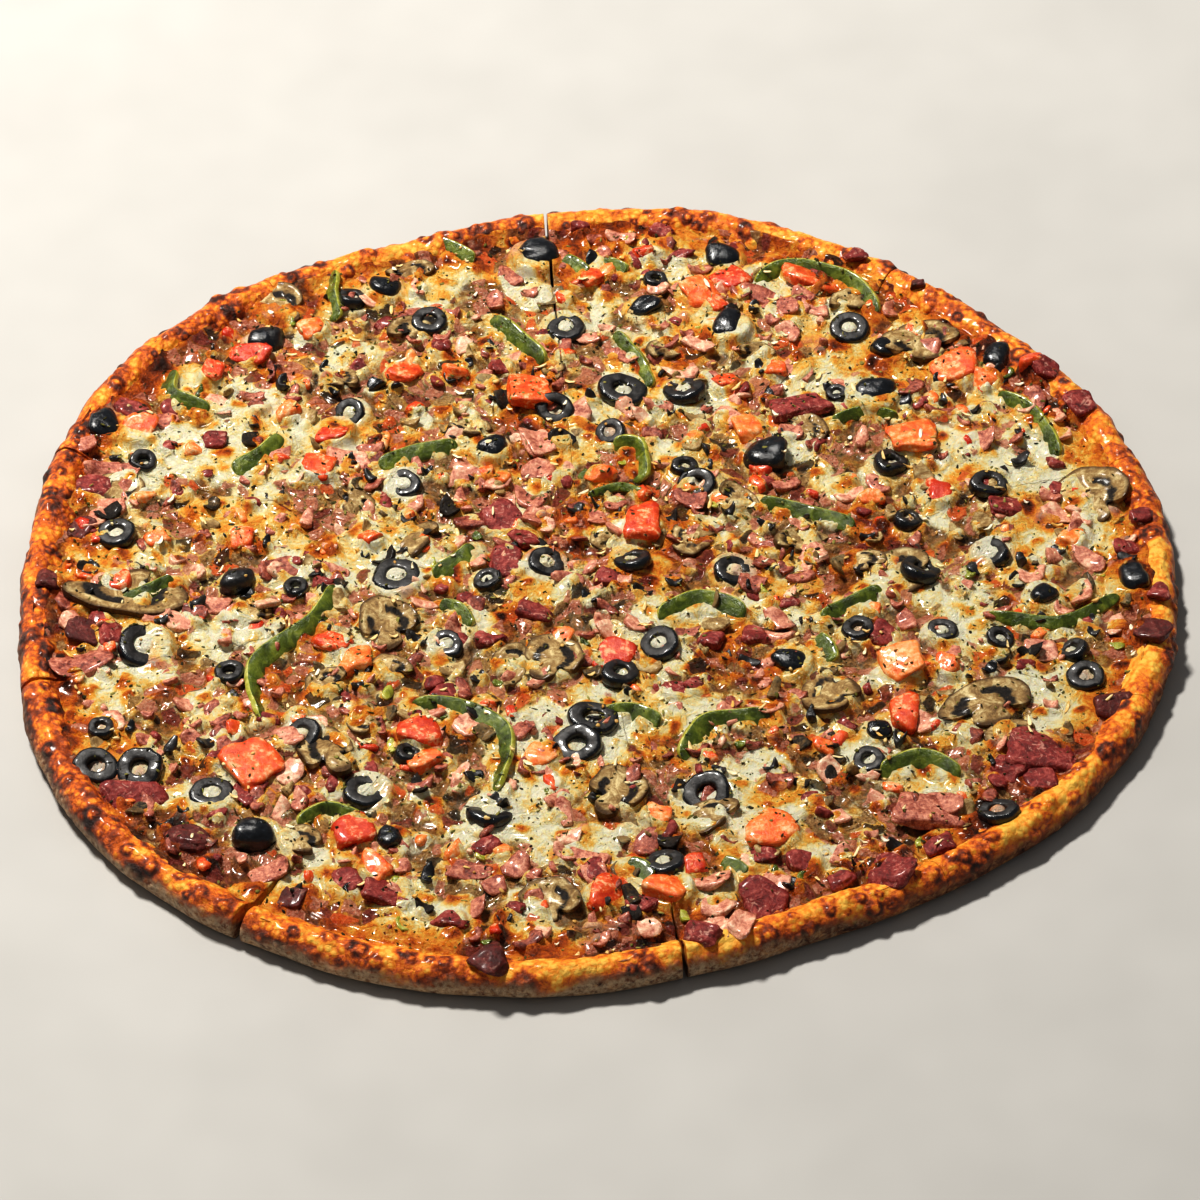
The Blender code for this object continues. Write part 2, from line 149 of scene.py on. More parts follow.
def flat_points(east, north):
    """Plan coordinates as points of three numbers, for the noise."""
    return np.stack([east, north, np.zeros_like(east)], axis=-1)


def scattered_cells(points, size, seed):
    """For each point: the distances to the nearest and second nearest of many scattered centres,
    in cells, the nearest one's cell number and the offset from it."""
    scaled = points[..., :2] / size
    home = np.floor(scaled).astype(np.int64)
    nearest = np.full(scaled.shape[:-1], 9.0)
    second = nearest.copy()
    owner = np.zeros(points.shape, dtype=np.int64)
    offset = np.zeros(scaled.shape)
    for step in range(9):
        cell = np.zeros(points.shape, dtype=np.int64)
        cell[..., :2] = home + np.array([step % 3 - 1, step // 3 - 1])
        jitter = np.stack([lattice(cell, seed), lattice(cell, seed + 1)], -1)
        away = scaled - (cell[..., :2] + 0.5 + 0.45 * jitter)
        gap = np.hypot(away[..., 0], away[..., 1])
        closer = gap < nearest
        second = np.where(closer, nearest, np.minimum(second, gap))
        nearest = np.where(closer, gap, nearest)
        owner = np.where(closer[..., None], cell, owner)
        offset = np.where(closer[..., None], away, offset)
    return nearest, second, owner, offset


sample = np.random.default_rng(1).uniform(-100, 100, (2000, 3))
print("noise spans", noise(sample, 6.0, 1).min().round(2), "to", noise(sample, 6.0, 1).max().round(2))

# %% [markdown]
# Every piece is a grid of points that closes on itself. Three ways of joining a grid are enough:
# a pod closes at two poles, a ring closes both ways, and a slab is an open sheet with walls and
# a flat underside. A batch of the same pieces is one array with one more axis. Menus offer
# spheres and tubes too, but on a grid of one's own the point numbers are known, so that values
# such as skin, cut face or scorching go straight onto the right points.

# %% Joining grids
def pod_faces(rows, columns):
    """Quads between the rows and triangles to a pole before the first and after the last row."""
    row, column = np.meshgrid(np.arange(rows - 1), np.arange(columns), indexing="ij")
    after = (column + 1) % columns
    corner = 1 + row * columns
    quads = np.stack([corner + column, corner + columns + column,
                      corner + columns + after, corner + after], -1)
    around = np.arange(columns)
    following = (around + 1) % columns
    last = 1 + (rows - 1) * columns
    head = np.stack([np.zeros_like(around), 1 + around, 1 + following], -1)
    tail = np.stack([last + around, np.full_like(around, last + columns), last + following], -1)
    return [quads.reshape(-1, 4), np.concatenate([head, tail])]


def ring_faces(rows, columns):
    """Quads on a grid that closes both ways, like a tyre."""
    row, column = np.meshgrid(np.arange(rows), np.arange(columns), indexing="ij")
    row_after = (row + 1) % rows
    column_after = (column + 1) % columns
    quads = np.stack([row * columns + column, row_after * columns + column,
                      row_after * columns + column_after, row * columns + column_after], -1)
    return [quads.reshape(-1, 4)]


def border_loop(rows, columns):
    """The indices round an open sheet: out along the first row, up the last column, back and down."""
    grid = np.arange(rows * columns).reshape(rows, columns)
    return np.concatenate([grid[0, :-1], grid[:-1, -1], grid[-1, :0:-1], grid[:0:-1, 0]])


def slab_faces(rows, columns):
    """An open sheet facing up, a wall down from its border to a copy, and a fan over the copy."""
    row, column = np.meshgrid(np.arange(rows - 1), np.arange(columns - 1), indexing="ij")
    corner = row * columns + column
    top = np.stack([corner, corner + columns, corner + columns + 1, corner + 1], -1).reshape(-1, 4)
    loop = border_loop(rows, columns)
    lower = rows * columns + np.arange(len(loop))
    wall = np.stack([loop, np.roll(loop, -1), np.roll(lower, -1), lower], -1)
    hub = np.full_like(lower, rows * columns + len(loop))
    fan = np.stack([lower, np.roll(lower, -1), hub], -1)
    return [top, wall, fan]


def repeat_faces(faces, points_each, copies):
    """The same faces once for each copy, with the point numbers moved on."""
    shift = (np.arange(copies) * points_each)[:, None, None]
    return [(part[None] + shift).reshape(-1, part.shape[1]) for part in faces]


print("a pod of 8 rows by 12 columns has", sum(len(part) for part in pod_faces(8, 12)), "faces")

# %% [markdown]
# One function turns arrays into an object, hands it its slot and lets it ride on the pizza. Whole
# arrays go into the mesh at once, because a loop over a million corners would take minutes. It
# also notes the highest point over each spot of the plan, so that herbs can lie on top of things.

# %% Making objects
SKY_CELL = 0.7
SKY_HALF = 320
skyline = np.zeros((2 * SKY_HALF, 2 * SKY_HALF))
triangle_counts = {}


def sky_index(east, north):
    """The row and column of the skyline under plan points."""
    row = np.clip((north / SKY_CELL + SKY_HALF).astype(int), 0, 2 * SKY_HALF - 1)
    column = np.clip((east / SKY_CELL + SKY_HALF).astype(int), 0, 2 * SKY_HALF - 1)
    return row, column


def add_piece(name, points, faces, material, layers=None, replaces=(), flat=()):
    """Puts points in millimetres, faces and named values for each point into one new object. The
    parts of the faces whose numbers are in flat are cut faces, with a sharp edge round them."""
    mesh = bpy.data.meshes.new(name)
    points = points.reshape(-1, 3)
    np.maximum.at(skyline, sky_index(points[:, 0], points[:, 1]), points[:, 2])
    places = np.ascontiguousarray(points * MM, dtype=np.float32)
    sizes = np.concatenate([np.full(len(part), part.shape[1]) for part in faces])
    corners = np.concatenate([part.ravel() for part in faces]).astype(np.int32)
    mesh.vertices.add(len(places))
    mesh.vertices.foreach_set("co", places.ravel())
    mesh.loops.add(len(corners))
    mesh.loops.foreach_set("vertex_index", corners)
    mesh.polygons.add(len(sizes))
    mesh.polygons.foreach_set("loop_start", (np.cumsum(sizes) - sizes).astype(np.int32))
    smooth = np.concatenate([np.full(len(part), order not in flat) for order, part in enumerate(faces)])
    mesh.polygons.foreach_set("use_smooth", smooth)
    mesh.update(calc_edges=True)
    for layer, values in (layers or {}).items():
        attribute = mesh.attributes.new(layer, "FLOAT", "POINT")
        attribute.data.foreach_set("value", np.ascontiguousarray(values.ravel(), dtype=np.float32))
    mesh.materials.append(material)
    piece = bpy.data.objects.new(name, mesh)
    bpy.context.collection.objects.link(piece)
    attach(piece, "root")
    if replaces:
        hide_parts(*replaces)
    triangle_counts[name] = int((sizes - 2).sum())
    return piece


print("the skyline covers", 2 * SKY_HALF * SKY_CELL, "mm each way")

# %% [markdown]
# The dough is not a true circle: its outline is a mean radius and a few waves round the hub where
# the cuts meet, the same rule as in the solids. Ten cuts divide it. Inside, the melted cheese has
# closed them again, and a few gape at the rim: angle, gape and where along the radius it starts.

# %% Plan of the pizza
HUB = np.array([-6.0, 1.0])
MEAN_RADIUS = 197.0
OUTLINE_WAVES = ((1, 1.8, -66), (2, 8.0, 16), (3, 3.4, -6), (4, 2.5, -27), (5, 1.6, -1), (6, 1.5, 26))
CUTS = ((16, 0.0, 0.9), (54, 0.6, 0.8), (94.5, 1.4, 0.35), (128, 0.0, 0.9), (162, 1.2, 0.8),
        (196, 1.6, 0.8), (235, 3.4, 0.8), (280.5, 2.6, 0.76), (310, 0.0, 0.9), (342, 0.0, 0.9))
RIM_SECTION = np.array(((3.2, 0.0), (0.8, 2.6), (0.0, 6.2), (1.4, 10.4), (5.0, 13.0), (9.2, 12.0),
                        (12.4, 9.2), (16.0, 5.0)))
BASE_TOP = 5.0
CLOSED_CUT = 0.05


def outline_radius(angle):
    """The mean radius plus the cosine of every wave, at angles in radians seen from the hub."""
    radius = np.full_like(angle, MEAN_RADIUS)
    for count, height, crest in OUTLINE_WAVES:
        radius = radius + height * np.cos(count * (angle - math.radians(crest)))
    ripple = flat_points(np.cos(angle) * MEAN_RADIUS, np.sin(angle) * MEAN_RADIUS)
    return radius + 0.7 * noise(ripple, 24.0, 3)


def inset_at(east, north):
    """How far plan points lie inside the outline."""
    offset_east = east - HUB[0]
    offset_north = north - HUB[1]
    return outline_radius(np.arctan2(offset_north, offset_east)) - np.hypot(offset_east, offset_north)


def half_gap(radius, gape, start):
    """Half of a cut's width: a hair's breadth, opening smoothly from the start out to the rim."""
    return CLOSED_CUT + gape / 2 * soft_step(radius / MEAN_RADIUS, start, 1.05)


def slice_grid(number, radius, share):
    """Plan points of a slice for radii and shares of its width, both as broadcastable arrays."""
    start, start_gape, start_opens = CUTS[number]
    end, end_gape, end_opens = CUTS[(number + 1) % len(CUTS)]
    end += 360 if end < start else 0
    low = math.radians(start) + half_gap(radius, start_gape, start_opens) / np.maximum(radius, 2.0)
    high = math.radians(end) - half_gap(radius, end_gape, end_opens) / np.maximum(radius, 2.0)
    angle = low + (high - low) * share
    return HUB[0] + radius * np.cos(angle), HUB[1] + radius * np.sin(angle), angle


def slice_angles(number, columns):
    """The angles at the rim, from one side of a slice to the other."""
    return slice_grid(number, np.full(columns, MEAN_RADIUS), np.linspace(0, 1, columns))[2]


rim_radii = outline_radius(np.linspace(0, 2 * math.pi, 361))
print(len(CUTS), "slices, rim", rim_radii.min().round(1), "to", rim_radii.max().round(1), "mm from the hub")

# %% [markdown]
# Toppings are listed by the pixel where each one shows, with its width and depth in pixels. A
# topping that is a solid of its own takes its place and size from that solid instead.

# %% Where the toppings lie
OLIVE_SPOTS = ((105, 427, 37, 32), (351, 412, 30, 28), (384, 289, 32, 30), (536, 259, 42, 30),
               (655, 282, 22, 18), (644, 310, 30, 24), (566, 328, 38, 36), (489, 450, 33, 28),
               (555, 412, 34, 30), (727, 330, 38, 26), (849, 330, 36, 30), (886, 351, 32, 22),
               (872, 398, 44, 34), (995, 356, 32, 22), (891, 464, 36, 24), (1134, 579, 42, 43),
               (994, 554, 34, 28), (921, 571, 38, 42), (1044, 597, 30, 24), (1073, 652, 30, 26),
               (1087, 678, 34, 28), (117, 536, 34, 28), (142, 646, 46, 36), (229, 675, 28, 26),
               (396, 577, 44, 36), (405, 485, 34, 22), (546, 563, 34, 36), (633, 563, 34, 28),
               (660, 645, 38, 30), (620, 674, 36, 24), (733, 573, 36, 24), (447, 645, 32, 28),
               (789, 664, 36, 38), (859, 632, 30, 26), (879, 731, 26, 26), (869, 762, 30, 34),
               (96, 767, 40, 37), (212, 794, 38, 32), (303, 736, 34, 34), (101, 730, 26, 22),
               (365, 791, 40, 30), (390, 840, 28, 38), (407, 755, 24, 18), (491, 814, 42, 30),
               (578, 746, 44, 34), (908, 520, 28, 24), (942, 632, 28, 24), (143, 462, 26, 22),
               (488, 582, 26, 24), (611, 436, 30, 26), (684, 470, 26, 22), (352, 300, 30, 22),
               (430, 325, 34, 22), (1000, 640, 24, 18), (296, 588, 26, 18), (837, 397, 22, 16))
WHOLE_OLIVES = ((1134, 579), (105, 427), (384, 289), (886, 351), (995, 356), (1044, 597), (879, 731),
                (644, 310), (489, 450), (872, 398), (390, 840), (536, 259), (727, 330), (789, 664))
CHEESY_OLIVES = ((351, 412), (566, 328), (142, 646), (405, 485), (396, 577), (733, 573), (447, 645),
                 (365, 791), (942, 632), (303, 736), (212, 794), (546, 563), (994, 554), (491, 814))

MUSHROOM_SPOTS = ((279, 306, 50, 40), (339, 378, 40, 26), (410, 272, 44, 20), (417, 328, 58, 24),
                  (553, 372, 22, 44), (667, 352, 46, 22), (850, 300, 46, 24), (806, 299, 40, 18),
                  (804, 427, 50, 26), (758, 353, 36, 16), (1092, 494, 70, 48), (122, 486, 46, 30),
                  (357, 504, 44, 24), (326, 683, 40, 26), (411, 540, 60, 28), (602, 540, 22, 52),
                  (391, 668, 42, 24), (829, 695, 50, 58), (365, 722, 28, 40), (298, 842, 40, 28),
                  (551, 900, 54, 36), (706, 818, 66, 30), (641, 312, 34, 20), (900, 571, 60, 40),
                  (800, 540, 60, 26), (690, 540, 40, 40), (1010, 735, 50, 24), (250, 612, 44, 26),
                  (510, 660, 40, 26), (740, 500, 44, 22), (860, 560, 50, 22), (470, 430, 40, 22))

TOMATO_SPOTS = ((250, 356, 46, 18), (213, 375, 22, 25), (312, 330, 28, 23), (139, 432, 33, 30),
                (334, 432, 34, 30), (318, 468, 30, 28), (591, 278, 23, 20), (644, 255, 20, 16),
                (698, 293, 34, 32), (729, 280, 30, 32), (716, 309, 20, 16), (810, 282, 59, 23),
                (406, 374, 30, 28), (953, 371, 42, 36), (985, 381, 24, 23), (747, 429, 28, 28),
                (725, 384, 22, 20), (776, 371, 22, 18), (601, 478, 24, 20), (643, 526, 32, 40),
                (940, 495, 26, 27), (1071, 540, 26, 20), (119, 585, 24, 23), (334, 646, 34, 22),
                (357, 661, 28, 30), (242, 540, 24, 20), (372, 540, 22, 18), (158, 540, 22, 18),
                (613, 655, 33, 28), (947, 667, 26, 22), (904, 712, 28, 34), (353, 833, 38, 28),
                (375, 869, 24, 33), (541, 756, 29, 32), (419, 733, 42, 28), (427, 762, 32, 20),
                (605, 897, 32, 44), (775, 835, 40, 32), (669, 891, 42, 32), (694, 868, 24, 20),
                (657, 819, 24, 26), (822, 748, 22, 16), (455, 375, 24, 18), (288, 414, 24, 18),
                (1030, 370, 22, 16), (560, 640, 22, 18), (870, 500, 22, 16), (760, 470, 20, 16))

BACON_SPOTS = ((133, 410, 30, 24), (214, 440, 26, 20), (440, 348, 22, 18), (500, 367, 22, 18),
               (661, 235, 28, 16), (680, 256, 24, 16), (819, 273, 22, 14), (864, 255, 20, 14),
               (1080, 411, 29, 24), (1046, 375, 27, 22), (1007, 508, 40, 24), (1141, 523, 22, 16),
               (1126, 547, 26, 20), (92, 484, 38, 23), (82, 530, 25, 23), (48, 586, 22, 22),
               (85, 633, 30, 26), (110, 634, 22, 32), (500, 520, 34, 30), (522, 540, 26, 26),
               (505, 560, 32, 28), (488, 641, 26, 20), (610, 579, 24, 20), (676, 690, 20, 20),
               (694, 686, 20, 18), (534, 612, 33, 22), (757, 635, 26, 22), (882, 638, 26, 24),
               (710, 641, 24, 18), (1153, 638, 34, 26), (1114, 708, 36, 26), (1038, 778, 34, 32),
               (892, 878, 44, 30), (766, 905, 40, 34), (804, 864, 30, 24), (938, 846, 28, 22),
               (128, 796, 56, 30), (186, 837, 34, 30), (250, 789, 26, 34), (293, 898, 24, 24),
               (384, 892, 42, 34), (347, 883, 28, 26), (450, 920, 30, 20), (488, 845, 28, 20),
               (594, 871, 24, 22), (445, 693, 24, 20), (763, 857, 26, 20), (488, 981, 32, 26),
               (937, 276, 14, 12), (1010, 770, 34, 24), (270, 340, 20, 16), (580, 230, 22, 14),
               (700, 940, 36, 22), (1160, 600, 20, 18), (996, 700, 30, 22), (640, 905, 26, 20),
               (840, 880, 26, 18))
CHARRED_SPOTS = ((85, 633), (293, 898), (488, 981), (937, 276), (1153, 638), (1114, 708), (48, 586),
                 (82, 530), (186, 837))

HAM_SPOTS = ((350, 458, 40, 22), (537, 443, 28, 34), (541, 471, 26, 26),
             (529, 499, 30, 24), (763, 297, 50, 22), (780, 310, 40, 18), (919, 353, 40, 26),
             (932, 340, 34, 20), (278, 568, 38, 22), (179, 621, 30, 18), (212, 604, 34, 20),
             (78, 665, 50, 30), (270, 873, 40, 24), (712, 928, 36, 30), (742, 931, 24, 28),
             (712, 880, 36, 22), (105, 469, 40, 18), (930, 806, 60, 26), (590, 860, 34, 20),
             (470, 870, 40, 22), (330, 570, 34, 18), (85, 450, 30, 16),
             (620, 240, 30, 14), (690, 500, 34, 22), (1090, 560, 34, 18), (1040, 650, 34, 22))

PEPPER_SPOTS = (((333, 273), (330, 297), (337, 321), 18), ((431, 244), (450, 252), (473, 264), 19),
                ((562, 262), (573, 268), (586, 276), 18), ((602, 264), (614, 268), (626, 274), 16),
                ((379, 468), (418, 455), (458, 448), 16), ((612, 448), (637, 452), (640, 484), 22),
                ((588, 498), (620, 490), (650, 498), 8), ((832, 424), (866, 416), (898, 420), 12),
                ((821, 622), (850, 609), (883, 593), 18), ((434, 579), (455, 568), (475, 550), 18),
                ((440, 606), (458, 612), (470, 630), 14), ((606, 714), (632, 716), (660, 726), 18),
                ((881, 776), (922, 766), (960, 779), 24), ((298, 826), (327, 812), (362, 820), 16),
                ((626, 868), (638, 874), (648, 884), 20), ((722, 862), (734, 868), (746, 876), 14),
                ((123, 602), (148, 595), (174, 582), 16), ((815, 640), (826, 652), (830, 664), 20))
print(len(OLIVE_SPOTS), "olives,", len(MUSHROOM_SPOTS), "mushrooms,", len(TOMATO_SPOTS), "tomato dice,",
      len(BACON_SPOTS), "bacon,", len(HAM_SPOTS), "ham and", len(PEPPER_SPOTS), "peppers are listed")

# %% [markdown]
# A pepper strip that is a solid of its own bends along a line, which its box can't give, so the
# lines are repeated here as in the solids: width, height and the middle line's points.

# %% Lines of the large pepper strips
SEEN_HEIGHT = 2.5
LEAST_DEPTH = 0.45
MOST_DEPTH = 1.5
RIM_MARGIN = 7.0
PEPPER_LINES = ((6.0, 5.0, ((-93, -6), (-99, -23), (-117, -42), (-119, -56), (-116, -71))),
                (7.4, 5.5, ((-65, -64), (-48, -67), (-34, -79), (-36, -105))),
                (8.0, 5.0, ((28, -90), (38, -74), (58, -70))),
                (4.4, 5.0, ((134, -20), (150, -24), (163, -23), (180, -11))),
                (6.4, 5.5, ((142, 91), (154, 80), (162, 59))),
                (8.4, 4.5, ((20, -23), (35, -15), (50, -21))),
                (4.4, 5.0, ((5, 123), (13, 109), (18, 95))),
                (7.8, 5.0, ((-40, 130), (-30, 118), (-21, 106))),
                (6.0, 4.5, ((56, 36), (72, 30), (89, 24))),
                (6.0, 5.5, ((56, 150), (66, 157), (80, 156), (92, 149), (100, 134))),
                (8.0, 4.5, ((-130, 51), (-120, 58), (-113, 68))),
                (6.0, 5.0, ((-154, 103), (-154, 90), (-140, 83))))


def node_names(kind):
    """The names of the solids of one kind, in order."""
    return sorted(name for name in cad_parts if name.startswith(kind))


def node_box(name):
    """A solid's middle and size in millimetres."""
    low, high = (np.array(corner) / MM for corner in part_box(name))
    return (low + high) / 2, high - low


def keep_on(middles, least):
    """Moves places that lie too near the outline or outside it inwards, towards the hub."""
    inset = inset_at(middles[:, 0], middles[:, 1])
    offset = middles - HUB
    radius = np.hypot(offset[:, 0], offset[:, 1])
    return HUB + offset * ((radius - np.maximum(least - inset, 0.0)) / radius)[:, None]


def spots_to_plan(spots):
    """Middles and sizes in millimetres of toppings that are listed by pixels. Depths are stretched
    by the slant of the view, less the height that is seen with them."""
    table = np.array(spots, float)
    lengths = table[:, 2] / PIXELS_PER_MM
    depths = table[:, 3] / PIXELS_PER_MM / math.sin(ELEVATION) - SEEN_HEIGHT
    depths = np.clip(depths, lengths * LEAST_DEPTH, lengths * MOST_DEPTH)
    return keep_on(from_photo(table[:, :2]), RIM_MARGIN), lengths, depths


def marked(spots, chosen):
    """True for the listed toppings whose pixel is also in a second list."""
    picked = set(chosen)
    return np.array([tuple(spot[:2]) in picked for spot in spots])


print("solids to dress:", len(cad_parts), "of them olives:", len(node_names("olive")))

# %% [markdown]
# The cheese is a height over the plan. Its level is wavy, it climbs up against every topping and
# over one side of it, it blisters, and in between it is thin over small diced ham, which shows as
# chunks. Near the rim it thins to a film that climbs the dough. A cloth could be dropped over the
# toppings instead, but it would bridge the gaps between them, where melted cheese sinks in.

# %% Height of the cheese
LEVEL = 8.6
LEVEL_WAVES = ((0.9, 38.0, 11), (0.6, 17.0, 12))
MOUND_MARGIN = 15.0
BLISTER_CELL = 10.5
CHUNK_CELL = 5.8
CHUNK_KINDS = (("meat", 0.0, 0.15), ("ham", 0.15, 0.68), ("tomato", 0.68, 0.77), ("tan", 0.77, 0.89),
               ("dark", 0.89, 1.0))
mounds = []


def add_mound(place, reach, target, slope=0.0, heading=0.0, spread=2.2, milk=0.0):
    """Notes a topping that the cheese climbs: within its reach the cheese aims for a height, which
    rises by a slope towards a heading, and outside it the climb fades over a spread."""
    mounds.append((place[0], place[1], reach, target, slope, heading, spread, milk))


def smooth_level(east, north):
    """The level without toppings: broad sizes of noise about the mean level."""
    points = flat_points(east, north)
    level = LEVEL
    for strength, size, seed in LEVEL_WAVES:
        level = level + strength * noise(points, size, seed)
    return level


def climb_mounds(east, north, level):
    """The highest of the level and every mound, whose weight is exp of minus (gap / spread)^2, and
    how milky the cheese is there."""
    shape = east.shape
    east, north, level = east.ravel(), north.ravel(), level.ravel()
    raised = level.copy()
    milky = np.zeros_like(level)
    table = np.array(mounds)
    near = (table[:, 0] > east.min() - MOUND_MARGIN) & (table[:, 0] < east.max() + MOUND_MARGIN)
    near &= (table[:, 1] > north.min() - MOUND_MARGIN) & (table[:, 1] < north.max() + MOUND_MARGIN)
    for middle_east, middle_north, reach, target, slope, heading, spread, milk in table[near]:
        window = reach + 2.5 * spread
        inside = (np.abs(east - middle_east) < window) & (np.abs(north - middle_north) < window)
        inside = np.flatnonzero(inside)
        offset_east = east[inside] - middle_east
        offset_north = north[inside] - middle_north
        gap = np.maximum(np.hypot(offset_east, offset_north) - reach, 0.0)
        weight = np.exp(-np.square(gap / spread))
        tilt = (offset_east * math.cos(heading) + offset_north * math.sin(heading)) / reach
        tilt = np.clip(tilt, -1.2, 1.2)
        lifted = level[inside] + (target + slope * tilt - level[inside]) * weight
        raised[inside] = np.maximum(raised[inside], lifted)
        milky[inside] = np.maximum(milky[inside], milk * weight)
    return raised.reshape(shape), milky.reshape(shape)


def crust_height(inset):
    """The height of the dough under the cheese at an inset from the outline."""
    return np.interp(inset, RIM_SECTION[3:, 0], RIM_SECTION[3:, 1])


def cheese_surface(east, north):
    """The height of the cheese, and the shares that its colour is made from."""
    points = flat_points(east, north)
    shift = np.stack([noise(points, 6.5, 61), noise(points, 6.5, 62), np.zeros_like(east)], -1)
    # the pattern is pushed about, so that no cell of it keeps a straight side
    bent = points + 2.3 * shift
    level = smooth_level(east, north)
    raised, milky = climb_mounds(east, north, level)
    sheet = noise(bent, 13.0, 73) + 0.4 * noise(bent, 6.0, 74) + 0.65 * noise(points, 34.0, 75)
    sheet = soft_step(sheet, -0.1, 0.35)
    lumps = layered(bent, 6.5, 22, 3) * (1 - 0.45 * sheet)

    gap, _, owner, _ = scattered_cells(bent, BLISTER_CELL, 81)
    reach = 0.36 + 0.16 * lattice(owner, 83)
    blister = np.square(np.clip(1 - np.square(gap / reach), 0, 1))
    browned = blister * (0.5 + 0.5 * lattice(owner, 84))

    near, next_near, owner, offset = scattered_cells(bent, CHUNK_CELL, 91)
    kind = 0.5 + 0.5 * lattice(owner, 93)
    edge = soft_step(next_near - near, 0.02, 0.2)
    shows = soft_step(0.4 * noise(points, 6.0, 72) + 0.6 * lattice(owner, 96) - 0.9 * sheet, -0.45, 0.0)
    slant = offset[..., 0] * lattice(owner, 94) + offset[..., 1] * lattice(owner, 95)
    chunk = shows * edge * (0.6 + 0.5 * lattice(owner, 97) + 1.2 * slant)
    shows = shows * edge * (raised - level < 1.0)

    inset = inset_at(east, north)
    in_front = soft_step(-(north - HUB[1]) / np.hypot(east - HUB[0], north - HUB[1]).clip(1), 0.5, 0.9)
    border = 8.8 + 2.6 * in_front + 2.4 * noise(points, 13.0, 31) + 1.0 * noise(points, 5.0, 32)
    # melted sheets stand above the gaps between them, and thin out over the toppings they climb
    thick = 1 - 0.6 * np.clip((raised - level) / 1.5, 0, 1)
    height = raised + (0.95 * lumps + 0.9 * blister + chunk + 1.1 * sheet - 0.4) * thick
    height = height - np.where(inset < 24, 3.0 * (1 - soft_step(inset, border, border + 5.0)), 0.0)
    film = crust_height(inset) - 0.8 + 1.3 * soft_step(inset, border, border + 2.5) + 0.4 * lumps
    height = 0.5 * (height + film + np.sqrt(np.square(height - film) + 0.5))

    near_rim = 1 - soft_step(inset, 13.0 + 3.0 * in_front, 31.0)
    patch = noise(points, 16.0, 41) + 0.6 * noise(points, 7.0, 42)
    toast = 0.21 - 0.17 * sheet + 0.62 * browned + 0.30 * soft_step(patch, -0.1, 0.8)
    toast = toast + 0.10 * lumps + 0.38 * near_rim
    # the last share is painted shade with oily sauce, darkest in the valleys between sheets and lumps
    layers = {"toast": toast - 0.22 * milky,
              "milk": milky + 0.5 * noise(points, 10.0, 43),
              "oil_and_painted_shade": 0.84 - 0.74 * sheet - 0.50 * lumps - 0.30 * (raised - level) - 0.6 * browned}
    for name, least, most in CHUNK_KINDS:
        layers[name] = shows * ((kind > least) & (kind <= most))
    return height, layers


print("level of the cheese at the hub", smooth_level(HUB[:1], HUB[1:]).round(2), "mm")

# %% [markdown]
# Materials are built from short calls. A colour is given as it reads on a screen and turned into
# the linear value that a renderer needs. Patterns read the object's own coordinates in metres.

# %% Helper for materials
# a Mix node's sockets for its share and its two colours, and its output for a colour
MIX_SOCKETS = (0, 6, 7)
MIX_RESULT = 2


def colour(red, green, blue):
    """Screen values from 0 to 255 as linear red, green, blue and an alpha of 1."""
    screen = np.array([red, green, blue]) / 255.0
    linear = np.where(screen <= 0.04045, screen / 12.92, ((screen + 0.055) / 1.055) ** 2.4)
    return (*(float(value) for value in linear), 1.0)


